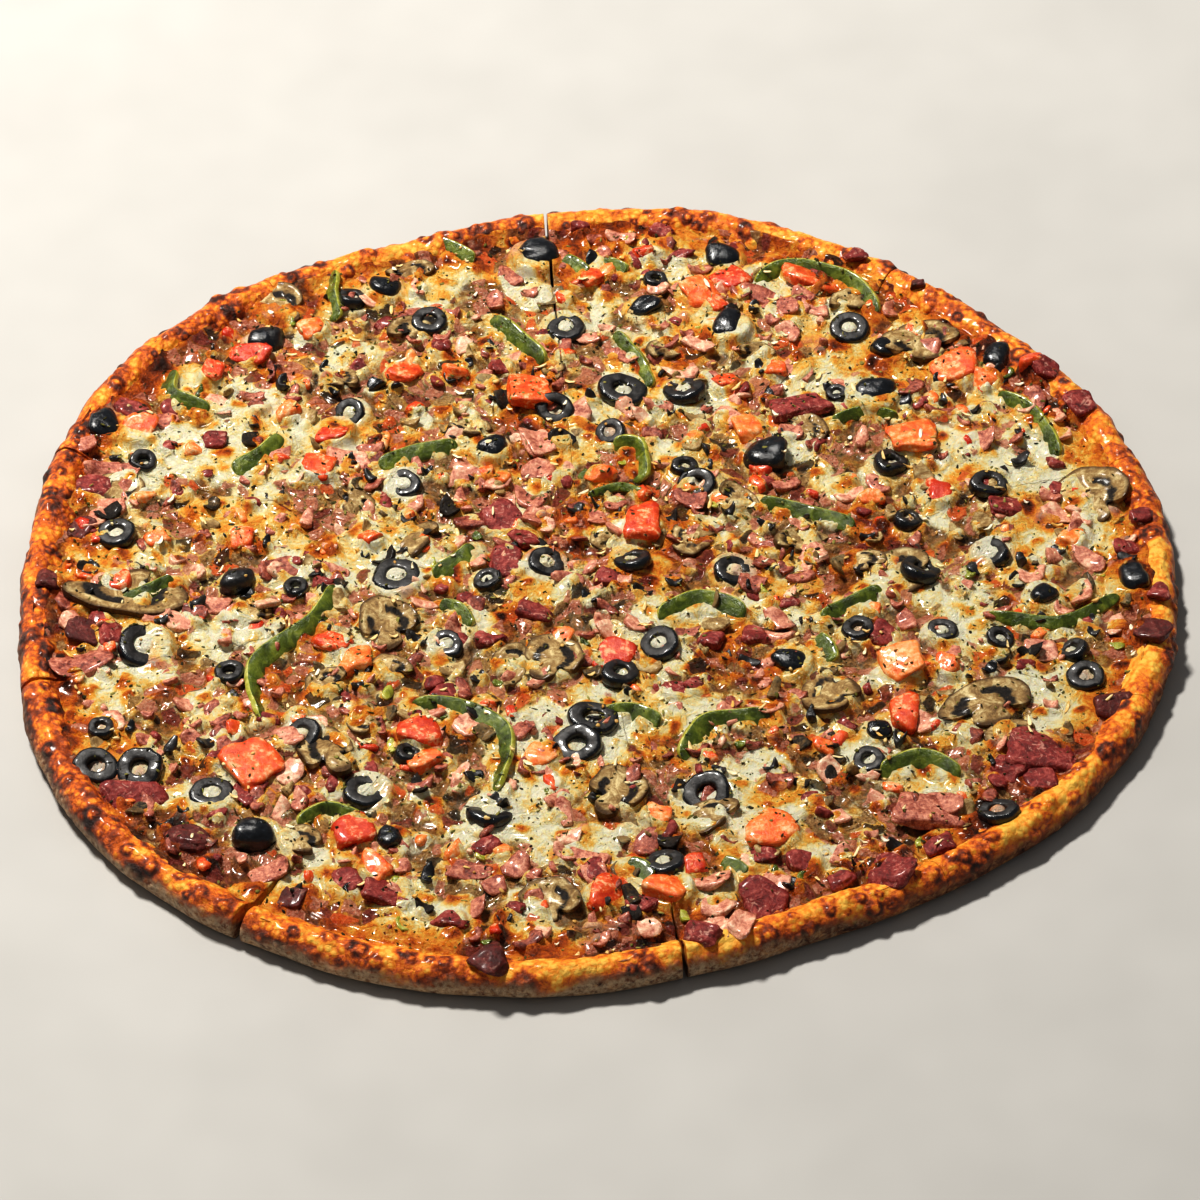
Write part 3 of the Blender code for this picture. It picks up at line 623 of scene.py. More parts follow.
class Finish:
    """A material under construction: each call adds nodes and returns the last one's output."""

    def __init__(self, name, roughness, specular=0.5, coat=0.0, glow_through=0.0):
        self.material = bpy.data.materials.new(name)
        self.material.use_nodes = True
        self.tree = self.material.node_tree
        self.shader = self.tree.nodes["Principled BSDF"]
        self.shader.inputs["Roughness"].default_value = roughness
        self.shader.inputs["Specular IOR Level"].default_value = specular
        self.shader.inputs["Coat Weight"].default_value = coat
        self.shader.inputs["Coat Roughness"].default_value = 0.15
        self.shader.inputs["Subsurface Weight"].default_value = glow_through
        self.shader.inputs["Subsurface Radius"].default_value = (0.004, 0.002, 0.001)
        self.shader.inputs["Subsurface Scale"].default_value = 0.5
        self.place = self.tree.nodes.new("ShaderNodeTexCoord").outputs["Object"]

    def join(self, value, socket):
        """Links an output to a socket, or sets the socket to a plain value."""
        if isinstance(value, bpy.types.NodeSocket):
            self.tree.links.new(value, socket)
        else:
            socket.default_value = value

    def layer(self, name):
        """The values that a mesh keeps for each point under a name."""
        node = self.tree.nodes.new("ShaderNodeAttribute")
        node.attribute_name = name
        return node.outputs["Fac"]

    def noise(self, size_mm, detail=4.0, rough=0.6, distortion=0.0):
        """Noise from 0 to 1 whose lumps are about the given size."""
        node = self.tree.nodes.new("ShaderNodeTexNoise")
        self.join(self.place, node.inputs["Vector"])
        node.inputs["Scale"].default_value = 1.0 / (size_mm * MM)
        node.inputs["Detail"].default_value = detail
        node.inputs["Roughness"].default_value = rough
        node.inputs["Distortion"].default_value = distortion
        return node.outputs["Fac"]

    def cells(self, size_mm):
        """The distance to the nearest of many scattered points, in cells of the given size."""
        node = self.tree.nodes.new("ShaderNodeTexVoronoi")
        self.join(self.place, node.inputs["Vector"])
        node.inputs["Scale"].default_value = 1.0 / (size_mm * MM)
        return node.outputs["Distance"]

    def maths(self, operation, one, two=0.0):
        """One step of arithmetic."""
        node = self.tree.nodes.new("ShaderNodeMath")
        node.operation = operation
        self.join(one, node.inputs[0])
        self.join(two, node.inputs[1])
        return node.outputs[0]

    def times(self, one, two):
        """The product of two values."""
        return self.maths("MULTIPLY", one, two)

    def sway(self, value, amount):
        """A noise value moved to swing about zero, times an amount."""
        return self.times(self.maths("SUBTRACT", value, 0.5), amount)

    def total(self, *values):
        """The sum of several values."""
        result = values[0]
        for value in values[1:]:
            result = self.maths("ADD", result, value)
        return result

    def span(self, value, low, high, to_low=0.0, to_high=1.0):
        """Maps the stretch from low to high smoothly onto another one and clamps outside it."""
        node = self.tree.nodes.new("ShaderNodeMapRange")
        node.interpolation_type = "SMOOTHSTEP"
        self.join(value, node.inputs["Value"])
        for name, number in (("From Min", low), ("From Max", high), ("To Min", to_low), ("To Max", to_high)):
            node.inputs[name].default_value = number
        return node.outputs["Result"]

    def ramp(self, value, *stops):
        """Colours along a scale: each stop is a position and a screen colour."""
        node = self.tree.nodes.new("ShaderNodeValToRGB")
        self.join(value, node.inputs["Fac"])
        band = node.color_ramp
        while len(band.elements) < len(stops):
            band.elements.new(0.5)
        for element, (position, *shade) in zip(band.elements, stops):
            element.position = position
            element.color = colour(*shade)
        return node.outputs["Color"]

    def mix(self, share, one, two):
        """The first colour where the share is 0 and the second where it is 1."""
        node = self.tree.nodes.new("ShaderNodeMix")
        node.data_type = "RGBA"
        for value, socket in zip((share, one, two), MIX_SOCKETS):
            self.join(value, node.inputs[socket])
        return node.outputs[MIX_RESULT]

    def close(self, base, height=None, depth_mm=0.3, strength=0.6, roughness=None):
        """Joins the colour, the bump and, where given, the roughness to the shader."""
        self.join(base, self.shader.inputs["Base Color"])
        if roughness is not None:
            self.join(roughness, self.shader.inputs["Roughness"])
        if height is not None:
            bump = self.tree.nodes.new("ShaderNodeBump")
            bump.inputs["Strength"].default_value = strength
            bump.inputs["Distance"].default_value = depth_mm * MM
            self.join(height, bump.inputs["Height"])
            self.join(bump.outputs["Normal"], self.shader.inputs["Normal"])
        return self.material


print("a screen grey of 128 is", round(colour(128, 128, 128)[0], 3), "in linear light")

# %% [markdown]
# Melted cheese runs from milky cream through gold to orange-brown where it blistered. Where it is
# thin, chunks of ham, bacon, tomato and mushroom show, and in the valleys between its sheets
# oily sauce and painted shade darken it. The mesh carries the share of each, and noise breaks
# their edges up into the fine speckle of browned fat.

# %% Cheese finish
CHUNK_COLOURS = (("ham", (142, 62, 48), (214, 136, 108), (252, 214, 186)),
                 ("meat", (62, 18, 16), (134, 52, 44), (204, 122, 104)),
                 ("tomato", (196, 58, 20), (240, 108, 44), (254, 176, 112)),
                 ("tan", (78, 50, 26), (168, 126, 76), (242, 214, 160)),
                 ("dark", (12, 11, 10), (34, 28, 22), (92, 76, 56)))


def cheese_finish():
    """Toasting picks the colour along a scale, and each kind of chunk is mixed over it."""
    made = Finish("melted_cheese", 0.4, specular=0.5, coat=0.3, glow_through=0.08)
    fine = made.noise(1.3, 7.0, 0.72, 0.3)
    broad = made.noise(4.2, 6.0, 0.7, 0.9)
    toast = made.total(made.layer("toast"), made.sway(fine, 0.55), made.sway(broad, 0.95))
    base = made.ramp(toast, (0.0, 255, 250, 220), (0.14, 255, 238, 176), (0.30, 255, 200, 92),
                     (0.45, 242, 148, 48), (0.60, 206, 100, 28), (0.80, 126, 54, 18), (1.0, 56, 26, 12))
    milk = made.span(made.total(made.layer("milk"), made.sway(broad, 0.6)), 0.30, 0.75)
    base = made.mix(made.times(milk, 0.6), base, colour(255, 249, 226))
    # oily sauce and painted shade, mixed in where the cheese lies low between its sheets
    oil_and_shade_colours = made.ramp(made.noise(2.4, 6.0, 0.7), (0.3, 38, 25, 14), (0.48, 112, 66, 34), (0.66, 198, 132, 80))
    oil_and_painted_shade = made.total(made.layer("oil_and_painted_shade"), made.sway(broad, 0.9), made.sway(fine, 0.4))
    base = made.mix(made.times(made.span(oil_and_painted_shade, 0.40, 0.90), 0.85), base, oil_and_shade_colours)
    for name, low, middle, high in CHUNK_COLOURS:
        share = made.total(made.layer(name), made.sway(fine, 0.5), made.sway(broad, 0.5))
        share = made.span(share, 0.38, 0.62)
        shade = made.ramp(fine, (0.3, *low), (0.5, *middle), (0.7, *high))
        base = made.mix(made.times(share, 0.85), base, shade)
    speck = made.span(made.cells(1.9), 0.10, 0.17, 1.0, 0.0)
    speck = made.times(speck, made.span(made.noise(5.0, 2.0), 0.45, 0.6))
    base = made.mix(made.times(speck, 0.8), base, colour(58, 46, 20))
    rough = made.span(made.noise(3.5, 3.0), 0.35, 0.65, 0.22, 0.55)
    height = made.total(fine, made.times(broad, 1.6))
    return made.close(base, height, 1.5, 1.0, rough)


CHEESE = cheese_finish()
print("the cheese's material has", len(CHEESE.node_tree.nodes), "nodes")

# %% [markdown]
# The rim is dough with cheese baked onto it: orange-gold, blistered in brown rings, and darker
# with a dusting of flour down its outer side. The mesh carries the scorching, the side and the
# flour, and scattered cells give the small bubbles.

# %% Dough finish
def dough_finish():
    """Gold on top, brown at the scorched blisters, dull floury brown down the side and below."""
    made = Finish("baked_crust", 0.5, specular=0.45, coat=0.15)
    fine = made.noise(1.2, 6.0, 0.7, 0.3)
    broad = made.noise(6.0, 6.0, 0.7, 1.0)
    bubbles = made.cells(2.8)
    burn = made.total(made.layer("scorch"), made.sway(broad, 0.9),
                      made.sway(made.span(bubbles, 0.2, 0.6), 0.22), made.sway(fine, 0.75))
    top = made.ramp(burn, (0.0, 252, 200, 92), (0.2, 246, 158, 48), (0.38, 222, 112, 34),
                    (0.55, 158, 72, 32), (0.75, 94, 46, 30), (1.0, 42, 24, 20))
    side = made.ramp(made.total(made.times(broad, 0.8), made.times(fine, 0.3)),
                     (0.42, 58, 34, 30), (0.55, 124, 82, 58), (0.72, 200, 154, 104))
    base = made.mix(made.layer("side"), top, side)
    flour = made.span(made.times(made.layer("flour"), made.noise(2.0, 6.0, 0.75)), 0.32, 0.62)
    flour = made.times(flour, made.layer("side"))
    base = made.mix(made.times(flour, 0.7), base, colour(222, 198, 164))
    rough = made.span(made.layer("side"), 0.0, 1.0, 0.46, 0.85)
    height = made.total(made.times(broad, 1.2), made.times(fine, 0.6))
    height = made.maths("SUBTRACT", height, made.times(bubbles, 0.9))
    return made.close(base, height, 1.0, 0.9, rough)


DOUGH = dough_finish()
print("the dough's material has", len(DOUGH.node_tree.nodes), "nodes")

# %% [markdown]
# Black olives are glossy skin round a duller cut face. One material could do for each, but a value
# kept in the mesh for every point lets a single one turn softly from skin to cut.

# %% Olive finish
def olive_finish():
    """Black skin with a blue-grey bloom, and a brown-black cut face that is less glossy."""
    made = Finish("black_olive", 0.2, specular=0.7, coat=0.4)
    fine = made.noise(1.5, 6.0, 0.7)
    skin = made.ramp(fine, (0.35, 10, 11, 15), (0.6, 30, 34, 40), (0.8, 78, 84, 88))
    cut = made.ramp(fine, (0.3, 12, 11, 12), (0.55, 36, 32, 31), (0.75, 88, 82, 76))
    rough = made.span(made.layer("cut"), 0.0, 1.0, 0.2, 0.5)
    return made.close(made.mix(made.layer("cut"), skin, cut), fine, 0.5, 0.6, rough)


OLIVE = olive_finish()
print("made", OLIVE.name)

# %% [markdown]
# Roasted pepper is dark green skin over yellow-green flesh, which shows along the cut edges. The
# skin's edge is swayed by fine noise, because a knife and the heat leave no clean line.

# %% Pepper finish
def pepper_finish():
    """Dark glossy skin, yellow-green flesh along the cut edges, and brown roasted specks."""
    made = Finish("green_pepper", 0.25, specular=0.6, coat=0.5, glow_through=0.05)
    fine = made.noise(1.3, 6.0, 0.7)
    broad = made.noise(5.0, 4.0, 0.65, 0.5)
    flesh = made.ramp(broad, (0.3, 122, 126, 30), (0.5, 178, 178, 66), (0.7, 226, 216, 136))
    skin = made.ramp(broad, (0.28, 42, 52, 12), (0.5, 86, 102, 26), (0.72, 146, 156, 58))
    edge = made.span(made.total(made.layer("skin"), made.sway(fine, 0.4)), 0.35, 0.65)
    base = made.mix(edge, flesh, skin)
    speck = made.span(fine, 0.57, 0.7)
    base = made.mix(made.times(speck, 0.75), base, colour(52, 44, 14))
    return made.close(base, made.total(fine, broad), 0.7, 0.7)


PEPPER = pepper_finish()
print("made", PEPPER.name)

# %% [markdown]
# Mushroom is beige flesh with a brown rind and black gills. Where the gills lie is a matter of
# shape, so the mesh says it, and the noise only frays them.

# %% Mushroom finish
def mushroom_finish():
    """Beige flesh with long streaks, a brown edge and black gills."""
    made = Finish("mushroom", 0.5, specular=0.4, coat=0.12)
    fine = made.noise(1.2, 7.0, 0.72)
    broad = made.noise(4.5, 5.0, 0.7, 0.8)
    flesh = made.ramp(made.total(broad, made.sway(fine, 0.4)), (0.28, 104, 76, 42),
                      (0.48, 170, 138, 88), (0.66, 232, 212, 160))
    rind = made.ramp(fine, (0.3, 52, 34, 20), (0.7, 122, 90, 50))
    base = made.mix(made.layer("edge"), flesh, rind)
    gill = made.ramp(fine, (0.35, 12, 10, 10), (0.6, 44, 34, 26), (0.8, 120, 100, 70))
    dark = made.total(made.layer("gill"), made.sway(fine, 0.9), made.sway(broad, 0.8))
    dark = made.span(dark, 0.35, 0.75)
    return made.close(made.mix(dark, base, gill), made.total(fine, broad), 0.8, 0.8)


MUSHROOM = mushroom_finish()
print("made", MUSHROOM.name)

# %% [markdown]
# Diced tomato is wet and red, ham is pink, and bacon is burgundy with pale fat, black where it
# caught. No two dice are alike, so each carries a tint of its own along one scale of colours.

# %% Tomato, ham and bacon finishes
def tomato_finish():
    """Red to orange by the piece, paler where cheese and fat cling."""
    made = Finish("tomato", 0.26, specular=0.6, coat=0.45, glow_through=0.1)
    fine = made.noise(1.4, 6.0, 0.7)
    broad = made.noise(4.0, 5.0, 0.65)
    shade = made.total(made.layer("tint"), made.sway(broad, 1.5), made.sway(fine, 0.5))
    base = made.ramp(shade, (0.0, 204, 56, 20), (0.3, 238, 98, 38), (0.6, 250, 146, 70), (1.0, 255, 204, 140))
    pale = made.span(made.total(fine, made.sway(broad, 1.0)), 0.54, 0.68)
    base = made.mix(made.times(pale, 0.6), base, colour(254, 214, 170))
    return made.close(base, fine, 0.7, 0.7)


def ham_finish():
    """Pink with paler and browner streaks."""
    made = Finish("ham", 0.36, specular=0.5, coat=0.3, glow_through=0.05)
    fine = made.noise(1.2, 6.0, 0.7)
    broad = made.noise(3.6, 5.0, 0.7, 0.6)
    shade = made.total(made.layer("tint"), made.sway(fine, 1.2), made.sway(broad, 1.6))
    base = made.ramp(shade, (0.0, 104, 44, 34), (0.3, 176, 98, 78), (0.58, 222, 154, 126),
                     (0.85, 246, 206, 174), (1.0, 255, 232, 206))
    return made.close(base, made.total(fine, broad), 0.7, 0.7)


def bacon_finish():
    """Burgundy meat marbled with pale fat, black where it is charred."""
    made = Finish("bacon", 0.46, specular=0.45, coat=0.2)
    fine = made.noise(1.1, 6.0, 0.7)
    broad = made.noise(3.6, 5.0, 0.65, 0.8)
    meat = made.ramp(made.total(broad, made.sway(fine, 0.5)),
                     (0.28, 76, 20, 18), (0.5, 140, 48, 44), (0.72, 196, 104, 92))
    fat = made.span(made.noise(3.0, 4.0, 0.6, 1.5), 0.56, 0.68)
    base = made.mix(made.times(fat, 0.6), meat, colour(232, 176, 156))
    burnt = made.span(made.total(made.layer("char"), made.sway(fine, 0.5)), 0.4, 0.8)
    base = made.mix(burnt, base, colour(44, 25, 20))
    return made.close(base, made.total(fine, broad), 0.7, 0.8)


TOMATO = tomato_finish()
HAM = ham_finish()
BACON = bacon_finish()
print("made", TOMATO.name, HAM.name, BACON.name)

# %% [markdown]
# Herbs, seeds and shreds are too small for a pattern. A scale of colours is enough, read at the
# tint of each grain.

# %% Finishes for tiny things
def speck_finish(name, roughness, *stops):
    """A finish for tiny things whose colour goes by the piece."""
    made = Finish(name, roughness, specular=0.4)
    shade = made.total(made.layer("tint"), made.sway(made.noise(0.8), 0.4))
    return made.close(made.ramp(shade, *stops))


HERB = speck_finish("dried_herb", 0.8,
                    (0.0, 24, 22, 10), (0.45, 62, 58, 20), (0.75, 104, 100, 40), (1.0, 160, 152, 84))
SEED = speck_finish("seed", 0.5, (0.0, 170, 116, 54), (0.5, 222, 184, 110), (1.0, 244, 228, 176))
SHRED = speck_finish("cheese_shred", 0.4, (0.0, 226, 176, 92), (0.5, 246, 226, 172), (1.0, 252, 246, 224))
print(len(bpy.data.materials), "materials")

# %% [markdown]
# Shapes of the toppings. Diced food is a block cut by a knife on a few sides, so each piece is a
# ring of flat cuts with softened edges: a box whose faces are tipped at random, and a few more
# cuts across its corners. All of it is one formula for the distance from the middle. A bevelled
# cube would do for one, but hundreds of them would look stamped.

# %% Diced pieces
def directions(rows, columns):
    """Unit vectors over a sphere with both poles: rows down from the top, columns round."""
    drop = (np.arange(rows) + 1) * math.pi / (rows + 1)
    turn = np.arange(columns) * 2 * math.pi / columns
    drop, turn = np.meshgrid(drop, turn, indexing="ij")
    body = np.stack([np.sin(drop) * np.cos(turn), np.sin(drop) * np.sin(turn), np.cos(drop)], -1)
    return np.concatenate([[(0.0, 0.0, 1.0)], body.reshape(-1, 3), [(0.0, 0.0, -1.0)]])


def about_z(angle):
    """The matrix of a turn about the vertical, for each angle of an array."""
    cos, sin, zero, one = np.cos(angle), np.sin(angle), np.zeros_like(angle), np.ones_like(angle)
    return np.moveaxis(np.array([[cos, -sin, zero], [sin, cos, zero], [zero, zero, one]]), -1, 0)


def about_y(angle):
    """The matrix of a lean towards east, for each angle of an array."""
    cos, sin, zero, one = np.cos(angle), np.sin(angle), np.zeros_like(angle), np.ones_like(angle)
    return np.moveaxis(np.array([[cos, zero, sin], [zero, one, zero], [-sin, zero, cos]]), -1, 0)


def turned(points, yaw, lean, lean_yaw):
    """Turns each copy about the vertical, then leans it by an angle towards a heading: the lean
    towards east between a turn back by the heading and a turn forth."""
    matrix = about_z(lean_yaw) @ about_y(lean) @ about_z(yaw - lean_yaw)
    return np.einsum("kij,kvj->kvi", matrix, points)


def chunks(sizes, rows, columns, seed, sharp=9.0, rough=0.08, curl=0.0, tips=0.25):
    """One block for each row of sizes. Along a direction d the distance is the sum of
    (d . n / h)^sharp over its cuts, to the power -1/sharp, which comes near the nearest cut at
    height h with normal n but is round at the edges. Noise and a curl along its length follow."""
    ways = directions(rows, columns)
    draw = np.random.default_rng(seed)
    count = len(sizes)
    box = np.concatenate([np.eye(3), -np.eye(3)])[None] + draw.normal(0, tips, (count, 6, 3)) * (1, 1, 0.5)
    corners = draw.normal(0, 1, (count, 4, 3))
    normals = np.concatenate([box, corners], axis=1)
    normals /= np.linalg.norm(normals, axis=-1, keepdims=True)
    heights = [draw.uniform(0.82, 1.0, (count, 6)), draw.uniform(0.85, 1.25, (count, 4))]
    heights = np.concatenate(heights, axis=1)
    facing = np.maximum(np.einsum("vi,kpi->kvp", ways, normals) / heights[:, None, :], 0.05)
    reach = np.minimum(np.sum(facing ** sharp, axis=-1) ** (-1.0 / sharp), 1.4)
    own = draw.uniform(-400, 400, (count, 1, 3))
    unit = ways[None] * reach[..., None]
    swell = 1.0 + rough * layered(unit * 1.4 + own, 0.8, seed, 2)[..., None]
    points = unit * swell * sizes[:, None, :] / 2
    along = unit[..., 0]
    points[..., 2] += curl * sizes[:, None, 2] * np.square(along)
    return points, pod_faces(rows, columns)


print("a small die has", len(directions(8, 12)), "points")

# %% [markdown]
# An olive ring is a tyre with a boxy section, rounder outside where the skin is, and an olive end
# is a dome. Blender's torus is round in section, which reads as rubber, so the section is worked
# out here. The share of cut face is kept for each point, because only the skin is glossy.

# %% Olives
def olive_rings(radii, rows, columns, seed, hole=0.38, height=4.6):
    """Tyres with a soft box for a section: its corners come from raising sine and cosine to 0.45,
    and the outer wall bulges at mid height."""
    turn = np.arange(rows) * 2 * math.pi / rows
    around = (np.arange(columns) + 0.5) * 2 * math.pi / columns
    turn, around = np.meshgrid(turn, around, indexing="ij")
    out = np.sign(np.cos(around)) * np.abs(np.cos(around)) ** 0.45
    rise = np.sign(np.sin(around)) * np.abs(np.sin(around)) ** 0.45
    count = len(radii)
    draw = np.random.default_rng(seed)
    own = draw.uniform(-300, 300, (count, 1, 1))
    circle = np.stack([np.cos(turn)[None] + own, np.sin(turn)[None] + own,
                       np.zeros_like(turn)[None] + own], -1)
    wobble = 1.0 + 0.12 * noise(circle, 1.1, seed + 5) + 0.05 * noise(circle, 0.3, seed + 6)
    middle = (1 + hole) / 2
    half = (1 - hole) / 2
    reach = middle + half * out - 0.09 * np.maximum(out, 0) * np.abs(rise) ** 3
    radius = radii[:, None, None] * reach[None] * wobble
    oval = draw.uniform(0.84, 1.0, (count, 1, 1))
    lift = np.broadcast_to(rise * height / 2, radius.shape) * (1.0 + 0.2 * noise(circle, 0.6, seed + 9))
    points = np.stack([radius * np.cos(turn), radius * np.sin(turn) * oval, lift], -1)
    cut = np.clip(soft_step(np.abs(rise), 0.9, 0.99) * (out < 0.8) + (out < -0.3), 0, 1)
    cut = np.broadcast_to(cut, radius.shape)
    return points.reshape(count, -1, 3), ring_faces(rows, columns), cut.reshape(count, -1)


trial_ring = olive_rings(np.array([7.0]), rows=40, columns=20, seed=1)[0]
print("an olive ring of 7 mm radius is", np.ptp(trial_ring, axis=1).round(1), "mm")

# %% [markdown]
# A pepper strip is a piece of a curved wall: a flat section with dark skin on its broad face and
# pale cut edges, carried along a line and leaning so that the skin faces the front. A curve with
# a bevel carries a section too, but this one also arches, twists and knows its skin.

# %% Pepper strips
def smooth_line(points, count):
    """A curve through the points at even shares of its length, by Catmull-Rom blending."""
    points = np.asarray(points, float)
    padded = np.concatenate([[2 * points[0] - points[1]], points, [2 * points[-1] - points[-2]]])
    share = np.linspace(0, 1, 16, endpoint=False)[:, None]
    before, one, two, after = padded[:-3, None], padded[1:-2, None], padded[2:-1, None], padded[3:, None]
    line = 0.5 * (2 * one + (two - before) * share + (2 * before - 5 * one + 4 * two - after) * share ** 2
                  + (3 * one - before - 3 * two + after) * share ** 3)
    line = np.concatenate([line.reshape(-1, points.shape[1]), points[-1:]])
    run = np.concatenate([[0], np.cumsum(np.linalg.norm(np.diff(line, axis=0), axis=1))])
    even = np.linspace(0, run[-1], count)
    return np.stack([np.interp(even, run, line[:, axis]) for axis in range(points.shape[1])], -1)


def strip(line, width, thickness, columns, seed):
    """A soft box of a width and thickness, arched like a pepper's wall, turned by a slowly changing
    lean and carried along a plan line with blunt ends. Returns points and how much each is skin."""
    rows = len(line)
    ahead = np.gradient(line, axis=0)
    ahead /= np.linalg.norm(ahead, axis=1)[:, None]
    right = np.stack([ahead[:, 1], -ahead[:, 0]], -1)
    front = -1.0 if right[:, 1].mean() > 0 else 1.0
    share = np.linspace(0, 1, rows)[:, None]
    blunt = np.clip(1 - np.abs(2 * share - 1) ** 10, 0.04, 1) ** 0.5
    along = flat_points(line[:, 0], line[:, 1])
    blunt = blunt * (1.0 + 0.16 * noise(along, 9.0, seed + 2)[:, None])
    blunt = blunt * (0.88 + 0.12 * np.sin(math.pi * share))
    around = (np.arange(columns) + 0.5) * 2 * math.pi / columns
    out = np.sign(np.cos(around)) * np.abs(np.cos(around)) ** 0.3
    rise = np.sign(np.sin(around)) * np.abs(np.sin(around)) ** 0.3
    grain = np.stack([line[:, :1] + out, line[:, 1:] + rise, np.zeros((rows, 1)) + out * 3], -1)
    lumps = 0.35 * layered(grain, 4.0, seed, 2)
    side = out * width / 2 * blunt
    lift = rise * thickness / 2 * np.minimum(blunt * 1.3, 1) + lumps - 0.06 * width * np.square(out) * blunt
    lean = front * (0.70 + 0.35 * noise(along, 22.0, seed + 3))[:, None]
    across = side * np.cos(lean) + lift * np.sin(lean)
    up = lift * np.cos(lean) - side * np.sin(lean)
    body = np.stack([line[:, :1] + right[:, :1] * across, line[:, 1:] + right[:, 1:] * across, up], -1)
    first = body[0].mean(axis=0, keepdims=True)
    last = body[-1].mean(axis=0, keepdims=True)
    skin = np.broadcast_to(soft_step(np.sin(around), 0.5, 0.75), (rows, columns))
    faces = pod_faces(rows, columns)
    skin = np.concatenate([[0], skin.ravel(), [0]])
    return np.concatenate([first, body.reshape(-1, 3), last]), faces, skin


print("a line of 3 points smoothed to", len(smooth_line(((0, 0), (5, 3), (10, 0)), 44)), "points")

# %% [markdown]
# A mushroom slice is a thin pillow with a cap, two notches and a stem. Its dark gills lie in an
# arc on each side of the stem, close under the cap, and baking curls and wrinkles the slice. The
# outline could be drawn as a curve and filled, but a grid from the middle out bends more evenly.

# %% Mushroom slices
def mushroom_slices(sizes, rows, columns, seed, thickness=2.8):
    """The outline is 1 less two dips beside the stem. Rows run from the middle of the top out over
    the edge to the middle of the underside."""
    share = (np.arange(rows) + 0.5) / rows
    out = np.clip(1.15 * np.sin(math.pi * share), 0, 1) ** 0.8
    lift = np.cos(math.pi * share)
    lift = np.sign(lift) * np.abs(lift) ** 0.45
    turn = np.arange(columns) * 2 * math.pi / columns
    from_stem = np.abs((turn + math.pi / 2 + math.pi) % (2 * math.pi) - math.pi)
    outline = 1.0 - 0.42 * np.exp(-np.square((from_stem - math.radians(42)) / math.radians(15)))
    outline = outline * np.where(from_stem < math.radians(30), 1.12, 1.0)
    unit_east = np.concatenate([[0], (out[:, None] * outline * np.cos(turn)).ravel(), [0]])
    unit_north = np.concatenate([[0], (out[:, None] * outline * np.sin(turn)).ravel(), [0]])
    level = np.concatenate([[1], np.repeat(lift, columns), [-1]])
    count = len(sizes)
    draw = np.random.default_rng(seed)
    spread = flat_points(unit_east, unit_north)[None] + draw.uniform(-300, 300, (count, 1, 3))
    lopsided = 1 + draw.uniform(-0.35, 0.35, (count, 1)) * unit_east
    east = unit_east * sizes[:, None, 0] / 2 * (1 + 0.10 * noise(spread, 0.5, seed + 1))
    north = unit_north * sizes[:, None, 1] / 2 * lopsided * (1 + 0.10 * noise(spread, 0.5, seed + 2))
    distance = np.hypot(unit_east, unit_north + 0.1) + 0.05 * noise(spread, 0.3, seed + 4)
    bearing = np.degrees(np.arctan2(unit_east, -(unit_north + 0.1)))
    ends = np.array([110.0, 190.0])[:, None, None] + draw.uniform(0, 60, (2, count, 1))
    reach = np.where(bearing < 0, ends[0], ends[1])
    bearing = np.abs(bearing)
    gill = np.exp(-np.square((distance - 0.55) / 0.20)) * soft_step(bearing, 28, 46)
    gill = gill * (1 - soft_step(bearing, reach - 25, reach))
    flutes = np.stack(np.broadcast_arrays(bearing / 12, 2 * distance, 9.0 * np.arange(count)[:, None]), -1)
    gill = gill * (0.95 + 0.3 * noise(flutes, 1.0, seed + 6))
    up = level * thickness / 2 * (1 - 0.4 * gill)
    up = up + 0.9 * noise(spread, 0.7, seed) + 0.4 * noise(spread, 0.22, seed + 3)
    up = up + draw.uniform(-1.0, 1.6, (count, 1)) * unit_east ** 2
    gill = gill * draw.uniform(0.8, 1.15, (count, 1))
    edge = np.broadcast_to(soft_step(np.hypot(unit_east, unit_north), 0.84, 0.99), up.shape)
    return np.stack([east, north, up], -1), pod_faces(rows, columns), gill, edge


print("a mushroom slice has", 26 * 52 + 2, "points on a grid of 26 by 52 and two poles")

# %% [markdown]
# Placing the toppings. Each lies on the cheese's own level, sunk in a little and leaning at
# random, and each tells the cheese to climb over one side of it. The solids' own toppings come
# first, each in the place of its solid.

# %% Large olives
# the level of the middle of a large topping that lies in the cheese
LYING = 11.0
FILLED = 12.8


def set_down(points, yaw, lean, lean_yaw, middle, level):
    """One piece, turned and leaning, at its middle on the plan and at a level."""
    angles = [np.array([angle]) for angle in (yaw, lean, lean_yaw)]
    return turned(points, *angles)[0] + (middle[0], middle[1], level)


def dress_olives():
    """Rings and ends. Every third ring has its hole filled with milky cheese."""
    for order, name in enumerate(node_names("olive_ring")):
        middle, size = node_box(name)
        radius = max(size[:2]) / 2 * 1.06
        points, faces, cut = olive_rings(np.array([radius]), rows=56, columns=28, seed=40 + order)
        lean = math.radians(9 + 8 * (order % 3))
        points = set_down(points, 0.0, lean, 2.1 * order, middle, LYING)
        add_piece("dressed_" + name, points, faces, OLIVE, {"cut": cut}, [name])
        add_mound(middle[:2], radius + 0.2, 10.0, slope=1.2, heading=1.3 + 2.4 * order, spread=1.8, milk=0.15)
        filling = FILLED if order % 3 == 1 else LYING
        add_mound(middle[:2], radius * 0.30, filling, slope=0.3, spread=1.2, milk=0.9)
    for order, name in enumerate(node_names("olive_end")):
        middle, size = node_box(name)
        sizes = np.array([[size[0], size[1], size[2] * 1.5]]) * 1.05
        points, faces = chunks(sizes, rows=40, columns=56, seed=60 + order, sharp=3.0, rough=0.07, tips=0.1)
        cut = soft_step(noise(points, 5.0, 61 + order), 0.2, 0.5) * 0.6
        points = points[0] + (middle[0], middle[1], 10.4)
        add_piece("dressed_" + name, points, faces, OLIVE, {"cut": cut}, [name])
        add_mound(middle[:2], max(size[:2]) / 2 - 0.6, 10.2, slope=1.5, heading=2.0 + 1.7 * order,
                  spread=1.8, milk=0.25)


